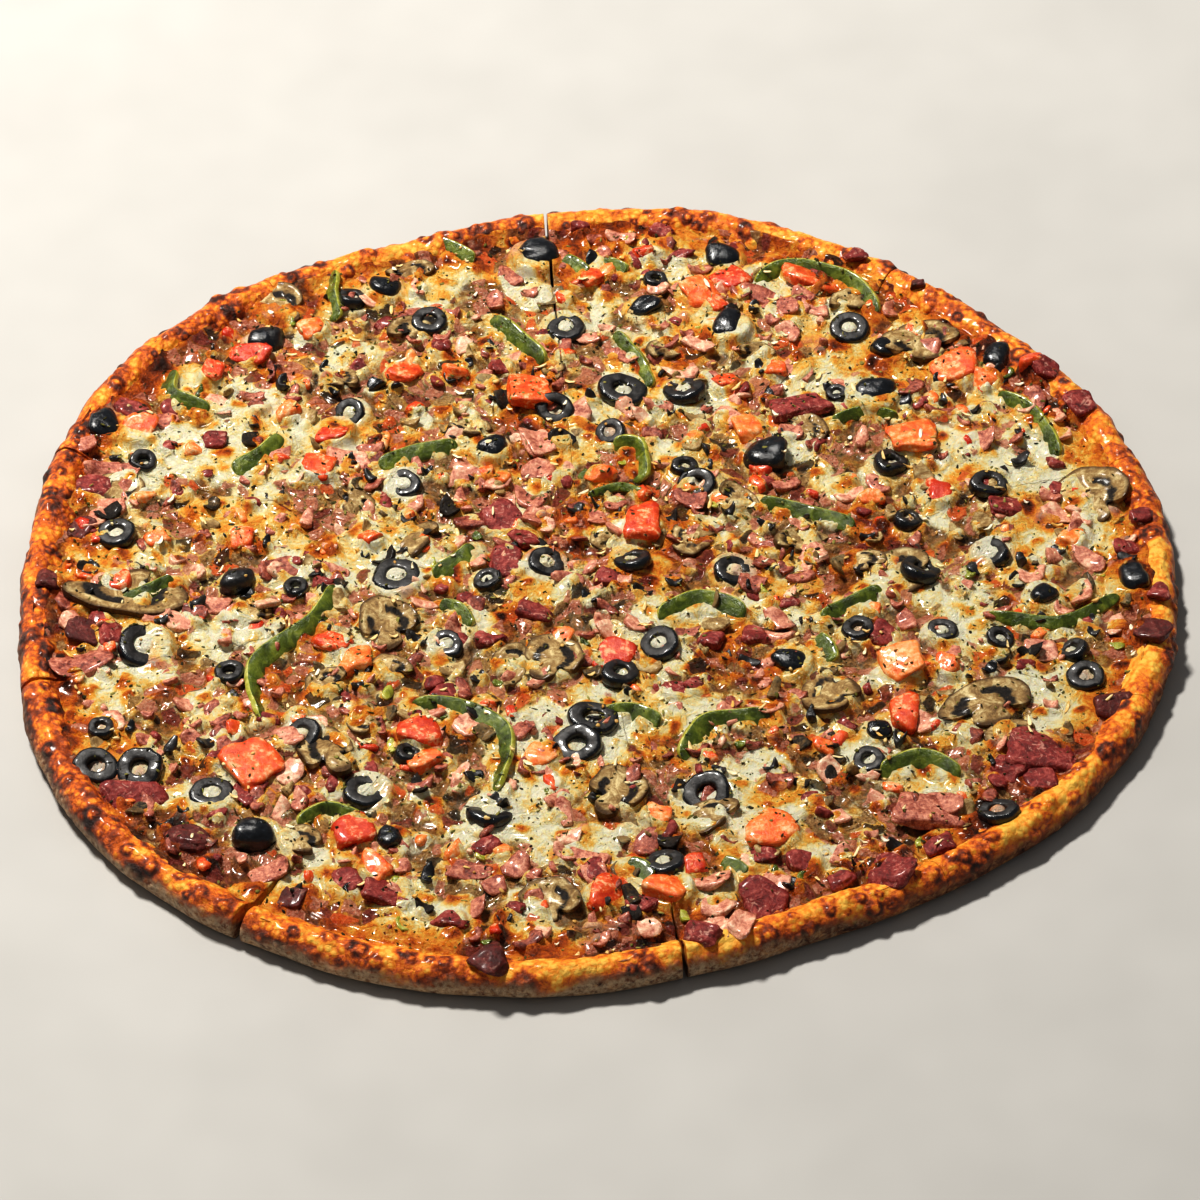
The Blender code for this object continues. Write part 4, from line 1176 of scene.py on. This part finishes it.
dress_olives()
print("olives dressed,", sum(triangle_counts.values()), "triangles so far")

# %% [markdown]
# The long pepper strips follow the same lines as their solids, a little wider, and the cheese
# rises and falls along them, so that they dip in and out of it.

# %% Large pepper strips
def dress_peppers():
    """The long strips, along the same lines as their solids."""
    for order, (name, (width, _, points)) in enumerate(zip(node_names("pepper_strip"), PEPPER_LINES)):
        line = smooth_line(points, 90)
        body, faces, skin = strip(line, width * 1.2, thickness=2.3, columns=28, seed=80 + order)
        body[:, 2] += LYING
        add_piece("dressed_" + name, body, faces, PEPPER, {"skin": skin}, [name])
        for step, place in enumerate(smooth_line(points, 9)):
            target = 10.4 + 0.9 * math.sin(3.1 * step + order)
            add_mound(place, width * 0.42, target, slope=0.5, heading=1.9 * step)


dress_peppers()
print("peppers dressed,", sum(triangle_counts.values()), "triangles so far")

# %% [markdown]
# The large mushroom slices keep the width and depth of their solids. Each is turned a little, and
# the one at the left has its stem away from the front.

# %% Large mushroom slices
FAR_LEFT = -120


def dress_mushrooms():
    """The large slices, each on the box of its solid."""
    for order, name in enumerate(node_names("mushroom_slice")):
        middle, size = node_box(name)
        points, faces, gill, edge = mushroom_slices(size[None, :2] * 1.05, rows=36, columns=80,
                                                    seed=100 + order, thickness=3.0)
        yaw = math.pi if middle[0] < FAR_LEFT else 0.5 * math.sin(2.3 * order)
        points = set_down(points, yaw, 0.10, 1.3 * order, middle, LYING)
        layers = {"gill": gill, "edge": edge}
        add_piece("dressed_" + name, points, faces, MUSHROOM, layers, [name])
        add_mound(middle[:2], min(size[:2]) * 0.42, 10.6, slope=1.5, heading=2.2 * order,
                  spread=2.6, milk=0.2)


dress_mushrooms()
print("mushrooms dressed,", sum(triangle_counts.values()), "triangles so far")

# %% [markdown]
# Tomato, bacon and ham of the larger sort are blocks with soft edges. They stand a little out of
# the cheese, which climbs each one on the side that a rising angle picks.

# %% Large diced pieces
def dress_dice(kind, material, layer, seed):
    """Large diced pieces of one kind, each on the box of its solid."""
    for order, name in enumerate(node_names(kind)):
        middle, size = node_box(name)
        points, faces = chunks(size[None] * (1.12, 1.12, 1.0), rows=36, columns=56, seed=seed + order,
                               rough=0.10, tips=0.16)
        points = set_down(points, 0.2 * order, 0.16, 1.7 * order + 0.5, middle, 9.3 + size[2] * 0.42)
        value = 0.35 + 0.15 * (order % 3) if layer == "tint" else 0.0
        layers = {layer: np.full(len(points), value)}
        add_piece("dressed_" + name, points, faces, material, layers, [name])
        add_mound(middle[:2], min(size[:2]) * 0.5, LEVEL + size[2] * 0.45, slope=1.4,
                  heading=1.1 + 2.6 * order, spread=2.4, milk=0.05)


dress_dice("tomato_piece", TOMATO, "tint", seed=120)
dress_dice("bacon_piece", BACON, "char", seed=140)
dress_dice("ham_piece", HAM, "tint", seed=160)
print("large toppings dressed,", sum(triangle_counts.values()), "triangles so far")

# %% [markdown]
# The other toppings are joined into one piece for each kind. Those that can be told apart in the
# photograph lie where they show, and the many small ones are scattered by a seeded draw.

# %% Placing a batch
FULL_TURN = 6.28


def add_batch(name, points, faces, material, layers):
    """Joins copies of one shape, given as an array of copies by points, into one piece."""
    copies, each = points.shape[:2]
    print(name, copies, "pieces")
    return add_piece(name, points, repeat_faces(faces, each, copies), material, layers)


def resting_height(middles):
    """The level that toppings rest on: the cheese's, or the dough's where they lie on the rim."""
    level = smooth_level(middles[:, 0], middles[:, 1])
    return np.maximum(level, crust_height(inset_at(middles[:, 0], middles[:, 1])))


def cover_all(middles, reaches, tops, covers, slopes, draw, spread=2.2, milk=0.0):
    """Lets the cheese climb every piece of a batch: up to a cover above or below its top."""
    headings = draw.uniform(0, 2 * math.pi, len(middles))
    milks = np.broadcast_to(milk, len(middles))
    rows = zip(middles, reaches, tops + covers, slopes, headings, milks)
    for place, reach, target, slope, heading, white in rows:
        add_mound(place, reach, target, slope, heading, spread, white)


def moved(pieces, middles, levels):
    """Each copy at its place on the plan and its level."""
    return pieces + np.column_stack([middles, levels])[:, None, :]


def tumbled(pieces, draw, most_yaw, most_lean, least_yaw=0.0):
    """Each copy turned by a random yaw and leaning by a random angle to a random side."""
    count = len(pieces)
    return turned(pieces, draw.uniform(least_yaw, most_yaw, count), draw.uniform(0.0, most_lean, count),
                  draw.uniform(0, FULL_TURN, count))


print("the cheese climbs", len(mounds), "places so far")

# %% [markdown]
# The olives that can be told apart: most are rings, a few are ends with no hole, and the cheesy
# ones are filled and half covered. One array holds all the rings and another all the ends.

# %% Listed olives
def scatter_olives():
    """Listed rings and ends: cheesy ones sink deeper and the cheese hangs over them."""
    middles, lengths, _ = spots_to_plan(OLIVE_SPOTS)
    lengths = lengths * 1.16
    whole = marked(OLIVE_SPOTS, WHOLE_OLIVES)
    cheesy = marked(OLIVE_SPOTS, CHEESY_OLIVES)
    draw = np.random.default_rng(7)
    lean = draw.uniform(0.05, 0.55, len(middles))
    heading = draw.uniform(0, 2 * math.pi, len(middles))
    lift = resting_height(middles) + np.where(cheesy, 0.9, 1.8)
    rings, faces, cut = olive_rings(lengths[~whole] / 2, rows=40, columns=20, seed=200)
    rings = turned(rings, heading[~whole], lean[~whole], heading[~whole] * 1.7)
    rings = moved(rings, middles[~whole], lift[~whole])
    add_batch("olive_rings", rings, faces, OLIVE, {"cut": cut})
    sizes = np.column_stack([lengths, lengths * 0.85, lengths * 0.66])[whole]
    ends, faces = chunks(sizes, rows=20, columns=28, seed=210, sharp=3.2, rough=0.10, tips=0.12)
    ends = turned(ends, heading[whole], lean[whole] * 0.5, heading[whole])
    ends = moved(ends, middles[whole], lift[whole])
    add_batch("olive_ends", ends, faces, OLIVE, {"cut": np.zeros(ends.shape[:2])})
    tops = lift + np.where(whole, lengths * 0.3, 2.3)
    covers = np.where(cheesy, -1.3, draw.uniform(-3.4, -2.4, len(middles)))
    slopes = np.where(cheesy, 1.6, draw.uniform(0.6, 1.5, len(middles)))
    milks = np.where(cheesy, 0.55, 0.15)
    cover_all(middles, lengths / 2, tops, covers, slopes, draw, spread=1.9, milk=milks)
    holes = ~whole
    hole_tops = np.where(cheesy, tops - 0.1, tops - draw.uniform(0.6, 3.2, len(middles)))
    zeros = np.zeros(holes.sum())
    cover_all(middles[holes], lengths[holes] * 0.14, hole_tops[holes], zeros, zeros, draw,
              spread=1.3, milk=1.0)


scatter_olives()

# %% [markdown]
# Mushroom slices lie at every angle and half under the cheese. A slice that shows deeper than it is
# wide is turned a quarter round first.

# %% Listed mushroom slices
def scatter_mushrooms():
    """Listed slices, turned and leaning at random and half under the cheese."""
    middles, lengths, depths = spots_to_plan(MUSHROOM_SPOTS)
    draw = np.random.default_rng(9)
    sizes = np.column_stack([np.maximum(lengths, depths * 0.8), np.minimum(depths, lengths)]) * 1.1
    slices, faces, gill, edge = mushroom_slices(sizes, rows=26, columns=52, seed=220, thickness=2.6)
    turn = np.where(depths > lengths * 1.2, math.pi / 2, 0.0) + draw.uniform(-0.7, 0.7, len(middles))
    count = len(middles)
    slices = turned(slices, turn, draw.uniform(0.05, 0.4, count), draw.uniform(0, FULL_TURN, count))
    lift = resting_height(middles) + 1.6
    slices = moved(slices, middles, lift)
    add_batch("mushroom_slices", slices, faces, MUSHROOM, {"gill": gill, "edge": edge})
    cover_all(middles, sizes.min(axis=1) * 0.42, lift + 1.3, draw.uniform(-1.3, -0.4, count),
              draw.uniform(1.0, 2.0, count), draw, spread=2.4, milk=0.2)


scatter_mushrooms()

# %% [markdown]
# The thinner pepper strips, each along the three pixels that mark its bend. All have the same
# number of points, so that they stack into one array and share their faces.

# %% Listed pepper strips
def scatter_peppers():
    """Listed strips joined into one piece, and mounds that rise and fall along each."""
    parts, skins = [], []
    rows = 44
    for order, (*points, width) in enumerate(PEPPER_SPOTS):
        width = width / PIXELS_PER_MM
        line = smooth_line(from_photo(points), rows)
        body, faces, skin = strip(line, width * 1.25, thickness=2.2, columns=20, seed=240 + order)
        rest = smooth_level(line[:, 0], line[:, 1])[rows // 2]
        body[:, 2] += rest + 2.2
        parts.append(body)
        skins.append(skin)
        for step, place in enumerate(smooth_line(line, 5)):
            target = rest + 2.0 + 0.9 * math.sin(2.9 * step + order)
            add_mound(place, width * 0.42, target, slope=0.4, heading=step)
    add_batch("pepper_strips", np.array(parts), faces, PEPPER, {"skin": np.array(skins)})


scatter_peppers()

# %% [markdown]
# Diced tomato, bacon and ham differ only in their colour, how thick they are and how they curl, so
# one function makes them all.

# %% Listed diced pieces
CHARRED = 0.62


def scatter_dice(name, spots, material, layer, values, height, seed, curl=0.0):
    """Listed diced pieces: length and depth from the list, height by kind."""
    middles, lengths, depths = spots_to_plan(spots)
    draw = np.random.default_rng(seed)
    count = len(middles)
    sizes = np.column_stack([lengths * 1.1, depths * 1.1, height * draw.uniform(0.8, 1.25, count)])
    pieces, faces = chunks(sizes, rows=18, columns=28, seed=seed, rough=0.10, curl=curl)
    pieces = tumbled(pieces, draw, most_yaw=0.6, most_lean=0.4, least_yaw=-0.6)
    lift = resting_height(middles) + height * 0.36
    pieces = moved(pieces, middles, lift)
    tint = np.broadcast_to(values[:, None], pieces.shape[:2])
    add_batch(name, pieces, faces, material, {layer: tint})
    cover_all(middles, sizes[:, :2].min(axis=1) * 0.5, lift + height / 2, draw.uniform(-2.6, -1.2, count),
              draw.uniform(0.8, 1.8, count), draw, spread=2.0, milk=0.05)


tomato_tints = np.random.default_rng(3).uniform(0.05, 0.65, len(TOMATO_SPOTS))
scatter_dice("tomato_dice", TOMATO_SPOTS, TOMATO, "tint", tomato_tints, height=5.6, seed=250)
plain_char = np.random.default_rng(4).uniform(0, 0.3, len(BACON_SPOTS))
char_values = np.where(marked(BACON_SPOTS, CHARRED_SPOTS), CHARRED, plain_char)
scatter_dice("bacon_dice", BACON_SPOTS, BACON, "char", char_values, height=3.8, seed=260)
ham_tints = np.random.default_rng(5).uniform(0.25, 0.6, len(HAM_SPOTS))
scatter_dice("ham_pieces", HAM_SPOTS, HAM, "tint", ham_tints, height=2.6, seed=270, curl=0.6)

# %% [markdown]
# Between the large toppings the pizza is full of small bits of everything, mostly ham. A particle
# system could strew them, but its copies are all alike. Here their places come from a seeded draw
# over the disc, thinned so that no two of a kind lie on each other, and each has its own shape.

# %% Small diced pieces
DRAW_HALF = 205
SMALL_GAP = 5.5
SMALL_MARGIN = 16.0
BLOCK = 64


def free_places(count, gap, seed):
    """Random places over the pizza: more are drawn than needed, and one is kept only where no
    earlier one is nearer than the gap. Blocks of them are compared at a time."""
    draw = np.random.default_rng(seed)
    tries = draw.uniform(-DRAW_HALF, DRAW_HALF, (count * 6, 2))
    tries = tries[inset_at(tries[:, 0], tries[:, 1]) > SMALL_MARGIN]
    kept = np.empty((0, 2))
    for start in range(0, len(tries), BLOCK):
        block = tries[start:start + BLOCK]
        within = np.hypot(*np.moveaxis(block[:, None] - block[None], -1, 0)) < gap
        clear = ~np.any(np.tril(within, -1), axis=1)
        if len(kept):
            away = np.hypot(*np.moveaxis(block[:, None] - kept[None], -1, 0))
            clear &= np.all(away > gap, axis=1)
        kept = np.concatenate([kept, block[clear]])
        if len(kept) >= count:
            break
    return kept[:count]


def scatter_small(name, count, slot, material, layer, tints, lengths, height, seed, sharp, curl):
    """Small pieces at free places, half sunk, each with its own tint."""
    middles = free_places(count, SMALL_GAP, seed)
    draw = np.random.default_rng(seed + 1)
    amount = len(middles)
    longs = draw.uniform(*lengths, amount)
    sizes = np.column_stack([longs, longs * draw.uniform(0.45, 0.9, amount),
                             height * draw.uniform(0.7, 1.3, amount)])
    pieces, faces = chunks(sizes, rows=8, columns=12, seed=seed, sharp=sharp, rough=0.12, curl=curl)
    pieces = tumbled(pieces, draw, most_yaw=FULL_TURN, most_lean=0.6)
    lift = smooth_level(middles[:, 0], middles[:, 1]) + height * draw.uniform(0.25, 0.6, amount)
    pieces = moved(pieces, middles, lift)
    tint = np.broadcast_to(draw.uniform(*tints, amount)[:, None], pieces.shape[:2])
    add_batch(name, pieces, faces, material, {layer: tint})
    cover_all(middles, sizes[:, :2].min(axis=1) * 0.45, lift + height / 2, draw.uniform(-1.3, 0.2, amount),
              draw.uniform(0.4, 1.2, amount), draw, spread=1.6, milk=0.1)


# name, how many, slot, material, layer and its range, lengths, height, seed, sharpness and curl
SMALL_KINDS = (
    ("small_ham", 430, "ham", HAM, "tint", (0.15, 0.75), (4.5, 12.0), 2.4, 300, 9.0, 0.7),
    ("small_bacon", 100, "bacon", BACON, "char", (0.0, 0.5), (4.5, 9.0), 2.8, 310, 8.0, 0.0),
    ("small_tomato", 110, "tomato", TOMATO, "tint", (0.0, 0.7), (4.0, 9.0), 3.2, 320, 8.0, 0.0),
    ("small_olive", 130, "black_olive", OLIVE, "cut", (0.2, 1.0), (3.5, 8.5), 3.0, 330, 4.0, 1.0),
    ("small_mushroom", 130, "mushroom", MUSHROOM, "gill", (0.1, 0.9), (4.5, 11.0), 2.4, 340, 5.0, 1.0),
    ("small_pepper", 60, "green_pepper", PEPPER, "skin", (0.0, 1.0), (3.0, 7.0), 2.0, 350, 6.0, 0.6))
for kind in SMALL_KINDS:
    scatter_small(*kind)
print(len(mounds), "mounds of cheese,", sum(triangle_counts.values()), "triangles so far")

# %% [markdown]
# One slab of cheese for each slice, in place of its solid. Rows run from the tip out to the rim
# and columns from side to side, about a millimetre apart at most, so that small blisters keep
# their form. The height was worked out above, so a slab only has to sample it.

# %% Cheese slabs
CHEESE_ROWS = 236
CHEESE_COLUMNS = 146
CHEESE_INSET = 5.0
CHEESE_TIP = 0.3
CHEESE_SINK = 0.4
HIDDEN_SHARE = 0.3


def cheese_slab(number):
    """A fan-shaped grid with its height and colour shares, closed by walls and a flat underside."""
    share = np.linspace(0.0, 1.0, CHEESE_COLUMNS)[None, :]
    angles = slice_angles(number, CHEESE_COLUMNS)[None, :]
    edge = outline_radius(angles) - CHEESE_INSET
    # the power sets the rows closer together towards the rim, where they are longer
    out = np.linspace(0.0, 1.0, CHEESE_ROWS)[:, None] ** 0.85
    east, north, _ = slice_grid(number, CHEESE_TIP + (edge - CHEESE_TIP) * out, share)
    height, layers = cheese_surface(east, north)
    points = np.stack([east, north, height], -1).reshape(-1, 3)
    foot = points[border_loop(CHEESE_ROWS, CHEESE_COLUMNS)].copy()
    foot[:, 2] = BASE_TOP - CHEESE_SINK
    body = np.concatenate([points, foot, foot.mean(axis=0, keepdims=True)])
    hidden = np.full(len(foot) + 1, HIDDEN_SHARE)
    layers = {layer: np.concatenate([values.ravel(), hidden]) for layer, values in layers.items()}
    name = f"cheese_slice_{number + 1:02d}"
    faces = slab_faces(CHEESE_ROWS, CHEESE_COLUMNS)
    add_piece("dressed_" + name, body, faces, CHEESE, layers, [name], (1, 2))
    return float(height.min()), float(height.max())


heights = [cheese_slab(number) for number in range(len(CUTS))]
print("cheese from", round(min(heights)[0], 1), "to", round(max(high for _, high in heights), 1), "mm")

# %% [markdown]
# The crust of each slice sweeps a rounded section along the outline. Blisters are domes at seeded
# places along the rim, browned in a ring round their foot, as bubbles of hot dough are. They could
# be spheres stuck on, but a swelling of the sweep itself leaves no seam. The scorching also goes
# by the side that a part faces: browner towards one side and paler towards another.

# %% Crust
RIM_ROWS = 170
SECTION_POINTS = 60
BLISTERS = 34
SECTION_MIDDLE = (9.0, 5.5)
CUT_CENTRE_LEVEL = 4.0
PALE_SIDE = -50
BROWN_SIDE = 175
FLOURY_SIDE = 250


def rim_blisters(along, across, seed):
    """Domes at seeded places and the browning round them, over a grid of runs along and across."""
    draw = np.random.default_rng(seed)
    dome = np.zeros(along.shape)
    scorch = np.zeros(along.shape)
    for _ in range(BLISTERS):
        reach = draw.uniform(1.3, 4.2)
        place = draw.uniform(2, along.max() - 2), draw.uniform(8, across.max() - 4)
        gap = np.hypot(along - place[0], across - place[1]) / reach
        dome = np.maximum(dome, reach * 0.28 * np.square(np.clip(1 - gap * gap, 0, 1)))
        scorch = np.maximum(scorch, draw.uniform(0.1, 0.55) * np.exp(-np.square((gap - 0.7) / 0.35)))
    return dome, scorch


def facing(angles, side, low):
    """How far a part of the rim looks to a side, in degrees: a step on the cosine between them."""
    return soft_step(np.cos(angles - math.radians(side)), low, 0.95)


def crust_piece(number):
    """Rows along the rim, columns over the section. Flat fans to the hub close it above and below, and
    each cut face is a fan from a point inside the rim's section, from which all of it is seen."""
    angles = slice_angles(number, RIM_ROWS)
    profile = smooth_line(RIM_SECTION, SECTION_POINTS)
    inset, lift = profile[:, 0][None, :], profile[:, 1][None, :]
    outline = outline_radius(angles)[:, None]
    share = np.linspace(0, 1, RIM_ROWS)[:, None]
    run = (angles - angles[0])[:, None] * MEAN_RADIUS
    steps = np.linalg.norm(np.diff(profile, axis=0), axis=1)
    across = np.concatenate([[0], np.cumsum(steps)])[None, :]
    along, across = np.broadcast_arrays(run, across)
    dome, scorch = rim_blisters(along, across, 500 + number)
    east, north, _ = slice_grid(number, outline - inset, share)
    solid = np.stack([east, north, np.broadcast_to(lift, east.shape)], -1)
    free = soft_step(lift, 1.0, 5.0) * (1 - soft_step(inset, 12.0, 15.0) * 0.7)
    lumps = (1.1 * noise(solid, 14.0, 51) + 0.55 * layered(solid, 5.0, 52, 3) + dome) * free
    away = np.stack([inset - SECTION_MIDDLE[0], lift - SECTION_MIDDLE[1]], -1)
    away = away / np.linalg.norm(away, axis=-1, keepdims=True)
    east, north, _ = slice_grid(number, outline - inset - away[..., 0] * lumps, share)
    points = np.stack([east, north, np.maximum(lift + away[..., 1] * lumps, 0.0)], -1).reshape(-1, 3)

    side = 1 - soft_step(lift + 2.2 * noise(solid, 9.0, 53) + 1.2 * noise(solid, 3.0, 56), 5.5, 10.5)
    side = np.where(inset > 8.0, 0.0, side)
    heading = angles[:, None]
    # browner towards one side of the rim and paler towards another
    darker = -0.07 * facing(heading, PALE_SIDE, 0.3)
    darker = darker + 0.16 * facing(heading, BROWN_SIDE, 0.5)
    scorch = scorch + 0.17 + darker + 0.16 * noise(solid, 18.0, 54) + 0.18 * noise(solid, 7.0, 55)
    scorch = scorch + 0.25 * (1 - soft_step(lift, 9.0, 12.5)) * (inset < 6)
    flour = 0.4 + 0.6 * facing(heading, FLOURY_SIDE, 0.3) + np.zeros_like(side)

    grid = np.arange(RIM_ROWS * SECTION_POINTS).reshape(RIM_ROWS, SECTION_POINTS)
    skin = np.stack([grid[:-1, :-1], grid[1:, :-1], grid[1:, 1:], grid[:-1, 1:]], -1)
    tip = len(points)
    tips = np.array([[HUB[0], HUB[1], 0.0], [HUB[0], HUB[1], BASE_TOP]])
    tips[:, :2] += CHEESE_TIP * np.array([math.cos(angles.mean()), math.sin(angles.mean())])
    east, north, _ = slice_grid(number, outline[[0, -1]] - SECTION_MIDDLE[0], np.array([[0.0], [1.0]]))
    centres = np.column_stack([east.ravel(), north.ravel(), [CUT_CENTRE_LEVEL, CUT_CENTRE_LEVEL]])
    below = np.stack([grid[1:, 0], grid[:-1, 0], np.full(RIM_ROWS - 1, tip)], -1)
    above = np.stack([grid[:-1, -1], grid[1:, -1], np.full(RIM_ROWS - 1, tip + 1)], -1)
    first = np.stack([grid[0, :-1], grid[0, 1:], np.full(SECTION_POINTS - 1, tip + 2)], -1)
    last = np.stack([grid[-1, 1:], grid[-1, :-1], np.full(SECTION_POINTS - 1, tip + 3)], -1)
    caps = np.array([[grid[0, -1], tip + 1, tip + 2], [tip + 1, tip, tip + 2], [tip, grid[0, 0], tip + 2],
                     [tip + 1, grid[-1, -1], tip + 3], [tip, tip + 1, tip + 3], [grid[-1, 0], tip, tip + 3]])
    faces = [skin.reshape(-1, 4), np.concatenate([below, above, first, last, caps])]
    layers = {"scorch": np.append(scorch, [0.2] * 4), "side": np.append(side, [1.0] * 4),
              "flour": np.append(flour, [0.5] * 4)}
    name = f"crust_slice_{number + 1:02d}"
    body = np.concatenate([points, tips, centres])
    add_piece("dressed_" + name, body, faces, DOUGH, layers, [name], (1,))


for number in range(len(CUTS)):
    crust_piece(number)
print("crust dressed,", sum(triangle_counts.values()), "triangles so far")

# %% [markdown]
# Dried herb flakes, pale seeds and shreds of cheese lie over everything. They are tiny, so each
# has only a few faces, and each sits on the highest thing under it.

# %% Herbs, seeds and shreds
GRAIN_MARGIN = 12.0


def sprinkle(name, count, slot, material, least, most, rows, columns, seed, lean, curl):
    """Tiny grains at random places, each with its own size and tint, on top of the skyline. None is
    kept over an open cut, where the skyline is low."""
    draw = np.random.default_rng(seed)
    tries = draw.uniform(-DRAW_HALF, DRAW_HALF, (count * 3, 2))
    tries = tries[inset_at(tries[:, 0], tries[:, 1]) > GRAIN_MARGIN]
    middles = tries[skyline[sky_index(tries[:, 0], tries[:, 1])] > BASE_TOP][:count]
    amount = len(middles)
    sizes = np.array(least) + (np.array(most) - least) * draw.uniform(0, 1, (amount, 3)) ** 1.8
    grains, faces = chunks(sizes, rows, columns, seed, sharp=6.0, rough=0.2, curl=curl, tips=0.5)
    grains = tumbled(grains, draw, most_yaw=FULL_TURN, most_lean=lean)
    tops = skyline[sky_index(middles[:, 0], middles[:, 1])]
    grains = moved(grains, middles, tops + sizes[:, 2] * 0.25)
    tint = np.broadcast_to(draw.uniform(0, 1, amount)[:, None], grains.shape[:2])
    add_batch(name, grains, faces, material, {"tint": tint})


# name, how many, slot, material, least and most size, rows, columns, seed, lean and curl
GRAINS = (
    ("herb_flakes", 4600, "green_pepper", HERB, (0.6, 0.4, 0.15), (2.8, 1.5, 0.5), 3, 5, 600, 0.7, 0.0),
    ("seeds", 340, "melted_cheese", SEED, (1.2, 0.9, 0.6), (2.6, 1.7, 1.1), 4, 8, 610, 0.4, 0.0),
    ("cheese_shreds", 260, "melted_cheese", SHRED, (1.8, 0.9, 0.5), (5.0, 1.6, 1.0), 6, 8, 620, 0.3, 1.2))
for grain in GRAINS:
    sprinkle(*grain)
print("sprinkled,", sum(triangle_counts.values()), "triangles in all")
print("heaviest:", sorted(triangle_counts.items(), key=lambda entry: -entry[1])[:4])

# %% [markdown]
# A plain pale floor, and soft studio light from large lamps: a key from the upper left, a fill
# from the right and a low one from the front.

# %% Floor and light
FLOOR_HALF = 4.0
FLOOR_LEVEL = -0.0003
LAMPS = (("key", (-1.0, 1.0, 2.7), 0.5, 160.0, (1.0, 0.97, 0.92)),
         ("fill", (1.4, -0.9, 1.3), 1.4, 11.0, (1.0, 1.0, 1.0)),
         ("front", (-0.3, -1.6, 1.2), 1.0, 8.0, (1.0, 1.0, 1.0)))
SKY_STRENGTH = 0.16


def add_floor():
    """A wide pale sheet just under the pizza."""
    mesh = bpy.data.meshes.new("floor")
    corners = [(east * FLOOR_HALF, north * FLOOR_HALF, FLOOR_LEVEL)
               for east, north in ((-1, -1), (1, -1), (1, 1), (-1, 1))]
    mesh.from_pydata(corners, [], [(0, 1, 2, 3)])
    made = Finish("pale_floor", 0.8, specular=0.2)
    grain = made.noise(60.0, 2.0)
    mesh.materials.append(made.close(made.ramp(grain, (0.3, 190, 188, 184), (0.7, 196, 194, 190))))
    floor = bpy.data.objects.new("floor", mesh)
    bpy.context.collection.objects.link(floor)


def add_lamp(name, place, size, power, warmth):
    """A square lamp that faces the middle of the pizza."""
    lamp = bpy.data.lights.new(name, "AREA")
    lamp.size = size
    lamp.energy = power
    lamp.color = warmth
    thing = bpy.data.objects.new(name, lamp)
    thing.location = place
    toward = -np.array(place) / np.linalg.norm(place)
    thing.rotation_euler = (math.acos(-toward[2]), 0.0, math.atan2(toward[0], -toward[1]))
    bpy.context.collection.objects.link(thing)


add_floor()
for lamp in LAMPS:
    add_lamp(*lamp)
world = bpy.data.worlds.new("studio")
world.use_nodes = True
sky = world.node_tree.nodes["Background"]
sky.inputs["Color"].default_value = (1.0, 1.0, 1.0, 1.0)
sky.inputs["Strength"].default_value = SKY_STRENGTH
bpy.context.scene.world = world
bpy.context.scene.view_settings.view_transform = "Standard"
bpy.context.scene.view_settings.look = "High Contrast"
print(len(LAMPS), "lamps over a floor", 2 * FLOOR_HALF, "m wide")
